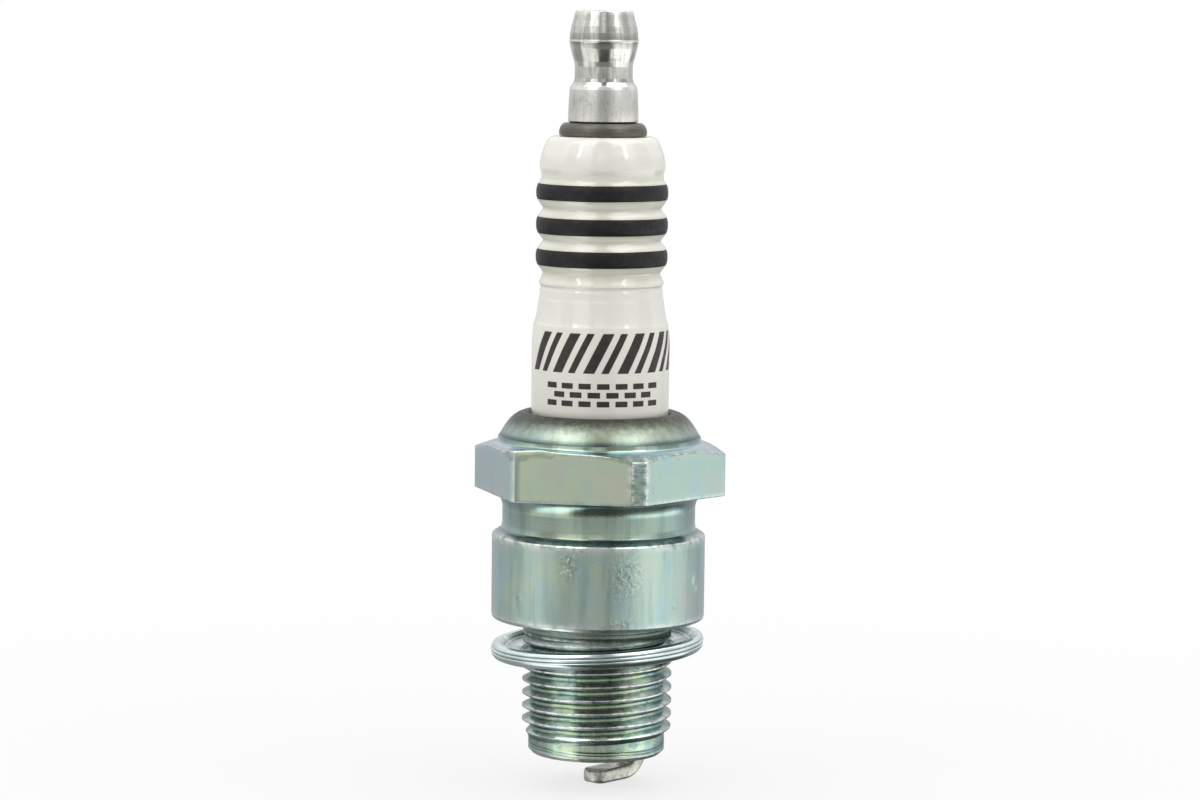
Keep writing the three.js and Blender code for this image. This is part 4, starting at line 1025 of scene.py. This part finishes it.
def build_strap():
    path = []  # (u, z, direction angle of travel, distance left to the free end)
    arc_r, cu, cz = 2.33, 5.35 - 2.33, -12.72
    for k in range(17):
        a = math.radians(-90 * k / 16)
        path.append((cu + arc_r * math.cos(a), cz + arc_r * math.sin(a), a - math.pi / 2))
    end = -0.85
    straight = list(np.linspace(cu, end + 1.0, 9)[1:]) + [end + 1.0 - math.sin(math.radians(x)) * 1.0 for x in (14, 28, 42, 54, 64, 72, 79, 85, 90)]
    for u in straight:
        path.append((float(u), cz - arc_r, -math.pi))
    rows = []
    for u, z, d in path:
        left = u - end if d < -math.pi + 1e-6 else 9.0
        half_w = 1.3
        if left < 1.0:
            half_w = 0.3 + math.sqrt(max(0.0, 1 - (1 - left) ** 2))
        inset = 0.46 - math.sqrt(max(0.0, 0.46**2 - (0.46 - left) ** 2)) if left < 0.46 else 0.0
        sec = rounded_rect(half_w - inset * 0.35, 0.65 - inset, max(0.05, min(0.33, (0.65 - inset) * 0.85, (half_w - inset * 0.35) * 0.85)), 6)
        # the section's second axis points out of the bend
        nx, nz = math.cos(d - math.pi / 2), math.sin(d - math.pi / 2)
        rows.append([(u - nx * q, w, z - nz * q) for w, q in sec])
    rows = np.array(rows)
    n, m = rows.shape[:2]
    verts = rows.reshape(-1, 3).tolist()
    faces = grid_faces(n, m, True).tolist()
    first = len(verts)
    verts.append(tuple(rows[0].mean(0)))
    verts.append(tuple(rows[-1].mean(0)))
    for j in range(m):
        faces.append([first, (j + 1) % m, j])
        faces.append([first + 1, (n - 1) * m + j, (n - 1) * m + (j + 1) % m])
    # weld flash round the foot
    base, ring = len(verts), rounded_rect(1.3, 0.65, 0.3, 6)
    ring, _ = subdivided(np.vstack([ring, ring[:1]]), np.zeros(len(ring) + 1), 0.16)
    ring = ring[:-1]
    k, s = len(ring), 10
    g = np.random.default_rng(5)
    lump = np.convolve(np.tile(g.uniform(0.7, 1.25, k), 3), np.ones(3) / 3, "same")[k : 2 * k]
    for i in range(k):
        w, q = ring[i]
        norm = np.array((w, q * 2.0))
        norm /= np.linalg.norm(norm)
        for c in range(s):
            a = 2 * math.pi * c / s
            out, up = 0.17 * math.cos(a) * lump[i], 0.15 * math.sin(a) * lump[i]
            verts.append((5.35 + q + norm[1] * out, w + norm[0] * out, -12.78 + up))
    for i in range(k):
        for c in range(s):
            faces.append([base + i * s + c, base + ((i + 1) % k) * s + c, base + ((i + 1) % k) * s + (c + 1) % s, base + i * s + (c + 1) % s])
    v = np.array(verts)
    a = math.radians(STRAP_AT)
    turned = np.stack([v[:, 0] * math.cos(a) - v[:, 1] * math.sin(a), v[:, 0] * math.sin(a) + v[:, 1] * math.cos(a), v[:, 2]], -1)
    ob = finish_mesh("ground_electrode_strap", turned, faces, None, [strap_nickel], "plug", "ground_electrode", "nickel", sharp=50.0)
    bm = bmesh.new()
    bm.from_mesh(ob.data)
    bmesh.ops.recalc_face_normals(bm, faces=bm.faces)
    bm.to_mesh(ob.data)
    bm.free()
    mark_edges(ob.data)
    attribute(ob.data, "weld", np.arange(len(ob.data.vertices)) >= base)
    return ob


build_strap()

# ------------------------------------------------------------------ centre electrode and its tip
lathe("center_electrode_body", [
    (0, -13.05), (0.36, -13.05, 0.05, 3), (0.46, -12.98, 0.05, 3), (1.25, -12.35, 0.12, 4), (1.25, 4.72, 0.1, 2), (1.85, 5.27, 0.08, 2), (1.85, 5.9, 0.06, 2), (1.5, 6.1, 0.06, 2), (1.5, 6.5, 0.05, 2),
    (0.75, 6.5, 0.04, 2), (0.75, -10.6, 0.05, 2), (0.4, -11.0, 0.05, 2), (0, -11.0),
], [electrode_nickel], "plug", "center_electrode", "nickel", cols=64)
lathe("iridium_tip_wire", [
    (0, -13.65), (0.255, -13.65, 0.02, 2), (0.30, -13.605, 0.02, 2), (0.30, -13.20, 0.06, 3), (0.37, -13.10, 0.03, 2), (0.36, -13.06, 0.01, 2), (0, -13.06),
], [iridium], "plug", "iridium_tip", "iridium", cols=48)

# ------------------------------------------------------------------ the inner CAD nodes keep their shape and get their materials
for node, m in (
    ("upper_glass_seal", seal_glass), ("lower_glass_seal", seal_glass), ("resistor", resistor_mass), ("copper_core", copper),
    ("upper_packing_ring", packing), ("lower_packing_ring", packing), ("seat_packing_washer", packing), ("talc_powder", talc),
):
    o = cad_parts[node]
    o.data.materials.clear()
    o.data.materials.append(m)

# ------------------------------------------------------------------ stage, light and camera
def direction(azimuth, elevation):
    """A unit vector from the object: azimuth in degrees from the camera's own direction, to the right as the camera sees it."""
    a = math.radians(CAMERA_PHI + azimuth)
    e = math.radians(elevation)
    return Vector((math.cos(a) * math.cos(e), math.sin(a) * math.cos(e), math.sin(e)))


def curve(p, value, stops):
    """A grey curve through (position, level) stops, as a node."""
    lo, hi = stops[0][0], stops[-1][0]
    top = max(v for _, v in stops)
    c = p.ramp(p.span(value, lo, hi, soft=False), [((x - lo) / (hi - lo), (v / top, v / top, v / top)) for x, v in stops])
    return p.math("MULTIPLY", c, top)


def studio(p, d, reach=1.0):
    """The studio as the polished metal sees it: a tall window of light on each side, a dim gap between them towards the camera,
    a lamp behind the camera, and bright panels overhead. d points away from the object; reach says how much of the far floor is meant."""
    s = p.t.nodes.new("ShaderNodeSeparateXYZ")
    p.put(s.inputs[0], d)
    a = math.radians(CAMERA_AT)
    x = p.math("ADD", p.math("MULTIPLY", s.outputs[0], math.cos(a)), p.math("MULTIPLY", s.outputs[1], math.sin(a)))
    y = p.math("ADD", p.math("MULTIPLY", s.outputs[0], math.sin(a)), p.math("MULTIPLY", s.outputs[1], -math.cos(a)))
    az = p.math("MULTIPLY", p.math("ARCTAN2", x, y), 180 / math.pi)
    el = p.math("MULTIPLY", p.math("ARCSINE", s.outputs[2], clamp=False), 180 / math.pi)
    # the windows reach further round to the front except where the floor just before the object lies in their way
    near = p.math("MULTIPLY", p.span(el, -8.9, -9.8), p.span(el, -18, -14))
    low = p.math("MULTIPLY", p.math("MULTIPLY", p.span(el, -20, -25), p.span(el, -48, -42)), reach)
    left_end = p.math("ADD", p.math("ADD", -42.0, p.math("MULTIPLY", near, 15.0)), p.math("ADD", p.span(el, -8.1, -7.1, 0.0, 22.0), p.math("MULTIPLY", low, 17.0)))
    right_start = p.math("ADD", p.math("ADD", 22.0, p.math("MULTIPLY", near, 30.0)), p.math("SUBTRACT", p.span(el, -15, -19, 0.0, 15.0), p.math("MULTIPLY", low, 13.0)))
    left = p.math("MULTIPLY", p.span(az, -96, -80), p.span(p.math("SUBTRACT", az, left_end), 7, -5))
    right = p.math("MULTIPLY", p.span(p.math("SUBTRACT", az, right_start), -5, 8), p.span(az, 126, 108))
    front = p.math("MULTIPLY", p.span(az, -80, -60), p.span(az, 100, 80))
    lit_left = curve(p, el, [(-90, 1.60), (-45, 1.90), (-26, 1.10), (-12, 1.28), (-9, 0.90), (-6, 0.86), (0, 0.84), (24, 1.28), (42, 2.1), (60, 2.8), (80, 2.5), (90, 1.5)])
    lit_right = curve(p, el, [(-90, 0.15), (-38, 0.28), (-30, 1.50), (-22, 1.85), (-12, 1.28), (-9, 1.12), (-6, 1.05), (0, 0.88), (24, 1.05), (42, 1.9), (60, 3.0), (80, 2.6), (90, 1.5)])
    dim = curve(p, el, [(-90, 0.06), (-34, 0.08), (-26, 0.12), (-19, 0.30), (-11, 0.34), (-8.6, 0.74), (-5, 0.50), (2, 0.42), (14, 0.30), (32, 0.38), (44, 0.20), (70, 0.20), (90, 0.42)])
    side = curve(p, el, [(-90, 0.42), (-30, 0.34), (-14, 0.42), (-10.5, 0.52), (-8.4, 0.71), (-4, 0.72), (4, 0.66), (12, 0.88), (30, 1.10), (60, 0.95), (90, 0.7)])
    room = p.mix(front, side, dim)
    lamp = p.math("MULTIPLY", p.math("MULTIPLY", p.span(az, -13, -9), p.span(az, 7, 3)), p.math("MULTIPLY", p.span(el, 12, 20), p.span(el, 42, 34)))
    seen = p.mix(right, p.mix(left, room, lit_left), lit_right)
    # window bars and a curtain gap between the horizon and the lamp's height
    bars = p.math("MULTIPLY", p.span(az, -80, -73), p.span(az, -48, -54))
    for lo, hi in ((-25, -12), (20, 45), (69, 106)):
        bars = p.math("ADD", bars, p.math("MULTIPLY", p.span(az, lo, lo + 5), p.span(az, hi, hi - 5)))
    bars = p.math("MULTIPLY", bars, p.math("MULTIPLY", p.span(el, 1, 8), p.span(el, 48, 40)))
    seen = p.mix(p.math("MULTIPLY", bars, 0.55), seen, (0.22, 0.22, 0.22))
    # a narrow bright slot at the inner edge of each window, above the horizon
    slots = p.math("ADD", p.math("MULTIPLY", p.span(az, -54, -51), p.span(az, -44, -47)), p.math("MULTIPLY", p.span(az, 44, 47), p.span(az, 54, 51)))
    seen = p.mix(p.math("MULTIPLY", slots, p.math("MULTIPLY", p.span(el, 18, 28), p.span(el, 64, 50))), seen, (4.6, 4.6, 4.6))
    return p.mix(p.math("MULTIPLY", lamp, 0.55), seen, (1.4, 1.4, 1.4))


def floor_material():
    p = Paint("floor_pale")
    t = p.t
    p.set(Base_Color=p.mix(p.span(p.noise(0.004, 3.0), 0.3, 0.7), (0.80, 0.80, 0.795), (0.78, 0.78, 0.775)), Roughness=p.span(p.noise(0.05, 3.0), 0.3, 0.7, 0.6, 0.7))
    path = t.nodes.new("ShaderNodeLightPath")
    s = t.nodes.new("ShaderNodeSeparateXYZ")
    p.put(s.inputs[0], p.co)
    far = p.math("SQRT", p.math("ADD", p.math("MULTIPLY", s.outputs[0], s.outputs[0]), p.math("MULTIPLY", s.outputs[1], s.outputs[1])))
    share = p.span(far, 0.01, 0.16, 0.72, 1.0)
    geo = t.nodes.new("ShaderNodeNewGeometry")
    away = t.nodes.new("ShaderNodeVectorMath")
    away.operation = "SCALE"
    t.links.new(geo.outputs["Incoming"], away.inputs[0])
    away.inputs["Scale"].default_value = -1.0
    # the object's own soft shadow, to the front and the right, as the lower metal sees it
    d = t.nodes.new("ShaderNodeSeparateXYZ")
    p.put(d.inputs[0], away.outputs[0])
    a = math.radians(CAMERA_AT)
    across = p.math("ADD", p.math("MULTIPLY", s.outputs[0], math.cos(a)), p.math("MULTIPLY", s.outputs[1], math.sin(a)))
    towards = p.math("ADD", p.math("MULTIPLY", s.outputs[0], math.sin(a)), p.math("MULTIPLY", s.outputs[1], -math.cos(a)))
    at = p.math("MULTIPLY", p.math("ARCTAN2", across, towards), 180 / math.pi)
    under = p.math("MULTIPLY", p.math("MULTIPLY", p.span(d.outputs[2], -0.31, -0.46), p.span(far, 0.085, 0.055)), p.math("MULTIPLY", p.span(at, -28, -18), p.span(at, 140, 110)))
    lit = p.mix(p.math("MULTIPLY", under, 0.62), studio(p, away.outputs[0], p.span(far, 0.05, 0.09)), (0.05, 0.055, 0.06))
    seen = p.mix(path.outputs["Is Glossy Ray"], (0.66, 0.66, 0.65), lit)
    glow = t.nodes.new("ShaderNodeEmission")
    p.put(glow.inputs[0], p.mix(path.outputs["Is Camera Ray"], seen, (1.0, 1.0, 1.0)))
    glow.inputs[1].default_value = 1.0
    mix = t.nodes.new("ShaderNodeMixShader")
    p.put(mix.inputs[0], p.mix(path.outputs["Is Camera Ray"], (1.0, 1.0, 1.0), share))
    t.links.new(p.b.outputs[0], mix.inputs[1])
    t.links.new(glow.outputs[0], mix.inputs[2])
    t.links.new(mix.outputs[0], p.out.inputs[0])
    p.m.cycles.emission_sampling = "NONE"
    return p.done()


def build_floor():
    """A round floor whose far edge sweeps up a little, so that no hard line shows."""
    me = bpy.data.meshes.new("floor")
    rows = [(0.0, 0.0), (0.05, 0.0), (0.2, 0.0), (0.6, 0.0), (1.4, 0.0), (1.7, 0.02), (1.9, 0.08)]
    n = 96
    verts, faces = [(0, 0, 0)], []
    for r, z in rows[1:]:
        verts += [(r * math.cos(2 * math.pi * k / n), r * math.sin(2 * math.pi * k / n), z) for k in range(n)]
    faces += [(0, 1 + k, 1 + (k + 1) % n) for k in range(n)]
    for i in range(len(rows) - 2):
        a = 1 + i * n
        faces += [(a + k, a + n + k, a + n + (k + 1) % n, a + (k + 1) % n) for k in range(n)]
    me.from_pydata(verts, [], faces)
    me.materials.append(floor_material())
    me.shade_smooth()
    ob = bpy.data.objects.new("floor", me)
    ob.location.z = cad_box[0][2] - 0.00002
    bpy.context.scene.collection.objects.link(ob)


build_floor()


def softbox(name, azimuth, elevation, distance, width, height, radiance, tone=(1, 1, 1), aim=0.035, turn=0.0):
    light = bpy.data.lights.new(name, "AREA")
    light.shape = "RECTANGLE"
    light.size, light.size_y = width, height
    light.energy = radiance * math.pi * width * height
    light.color = tone
    ob = bpy.data.objects.new(name, light)
    at = direction(azimuth, elevation) * distance + Vector((0, 0, aim))
    look = (Vector((0, 0, aim)) - at).normalized()
    ob.matrix_world = Matrix.Translation(at) @ look.to_track_quat("-Z", "Y").to_matrix().to_4x4() @ Matrix.Rotation(math.radians(turn), 4, "Z")
    ob.visible_camera = False
    ob.visible_glossy = False
    bpy.context.scene.collection.objects.link(ob)
    return ob


softbox("softbox_left", -60, 22, 0.62, 0.5, 0.6, 0.75)
softbox("softbox_right", 70, 22, 0.62, 0.5, 0.6, 0.55)
softbox("softbox_top", 10, 75, 0.62, 0.4, 0.4, 0.5)

world = bpy.data.worlds.new("studio")
bpy.context.scene.world = world
world.use_nodes = True
world.cycles.sampling_method = "NONE"
world.node_tree.nodes.clear()
w = Paint("studio", world.node_tree)
w_out = w.t.nodes.new("ShaderNodeOutputWorld")
w_path = w.t.nodes.new("ShaderNodeLightPath")
w_geo = w.t.nodes.new("ShaderNodeTexCoord")
w_soft = w.t.nodes.new("ShaderNodeSeparateXYZ")
w.t.links.new(w_geo.outputs["Generated"], w_soft.inputs[0])
w_even = w.mix(w.span(w_soft.outputs[2], -0.1, 0.9), (0.66, 0.66, 0.65), (0.98, 0.98, 0.98))
a = math.radians(CAMERA_AT)
w_front = w.math("ADD", w.math("MULTIPLY", w_soft.outputs[0], math.sin(a)), w.math("MULTIPLY", w_soft.outputs[1], -math.cos(a)))
w_even = w.mix(1.0, w_even, w.mix(w.span(w_front, -0.2, 1.0), (1.16, 1.16, 1.16), (0.86, 0.86, 0.86)), "MULTIPLY")
w_seen = w.mix(w_path.outputs["Is Glossy Ray"], w_even, studio(w, w_geo.outputs["Generated"]))
w_glow = w.t.nodes.new("ShaderNodeBackground")
w.put(w_glow.inputs[0], w.mix(w_path.outputs["Is Camera Ray"], w_seen, (1.0, 1.0, 1.0)))
w.t.links.new(w_glow.outputs[0], w_out.inputs[0])

camera = bpy.data.cameras.new("camera")
camera.lens = 114.4
camera.sensor_width = 36.0
camera.clip_start, camera.clip_end = 0.01, 10.0
cam = bpy.data.objects.new("camera", camera)
a = math.radians(CAMERA_AT)
eye = Vector((math.sin(a) * 0.353, -math.cos(a) * 0.353, (57.0 + SEAT) * MM))
aim = Vector((0, 0, (20.4 + SEAT) * MM))
cam.matrix_world = Matrix.Translation(eye) @ (aim - eye).to_track_quat("-Z", "Y").to_matrix().to_4x4() @ Matrix.Rotation(math.radians(0.66), 4, "Z")
bpy.context.scene.collection.objects.link(cam)
bpy.context.scene.camera = cam
bpy.context.scene.view_settings.view_transform = "Standard"
bpy.context.scene.view_settings.look = "None"
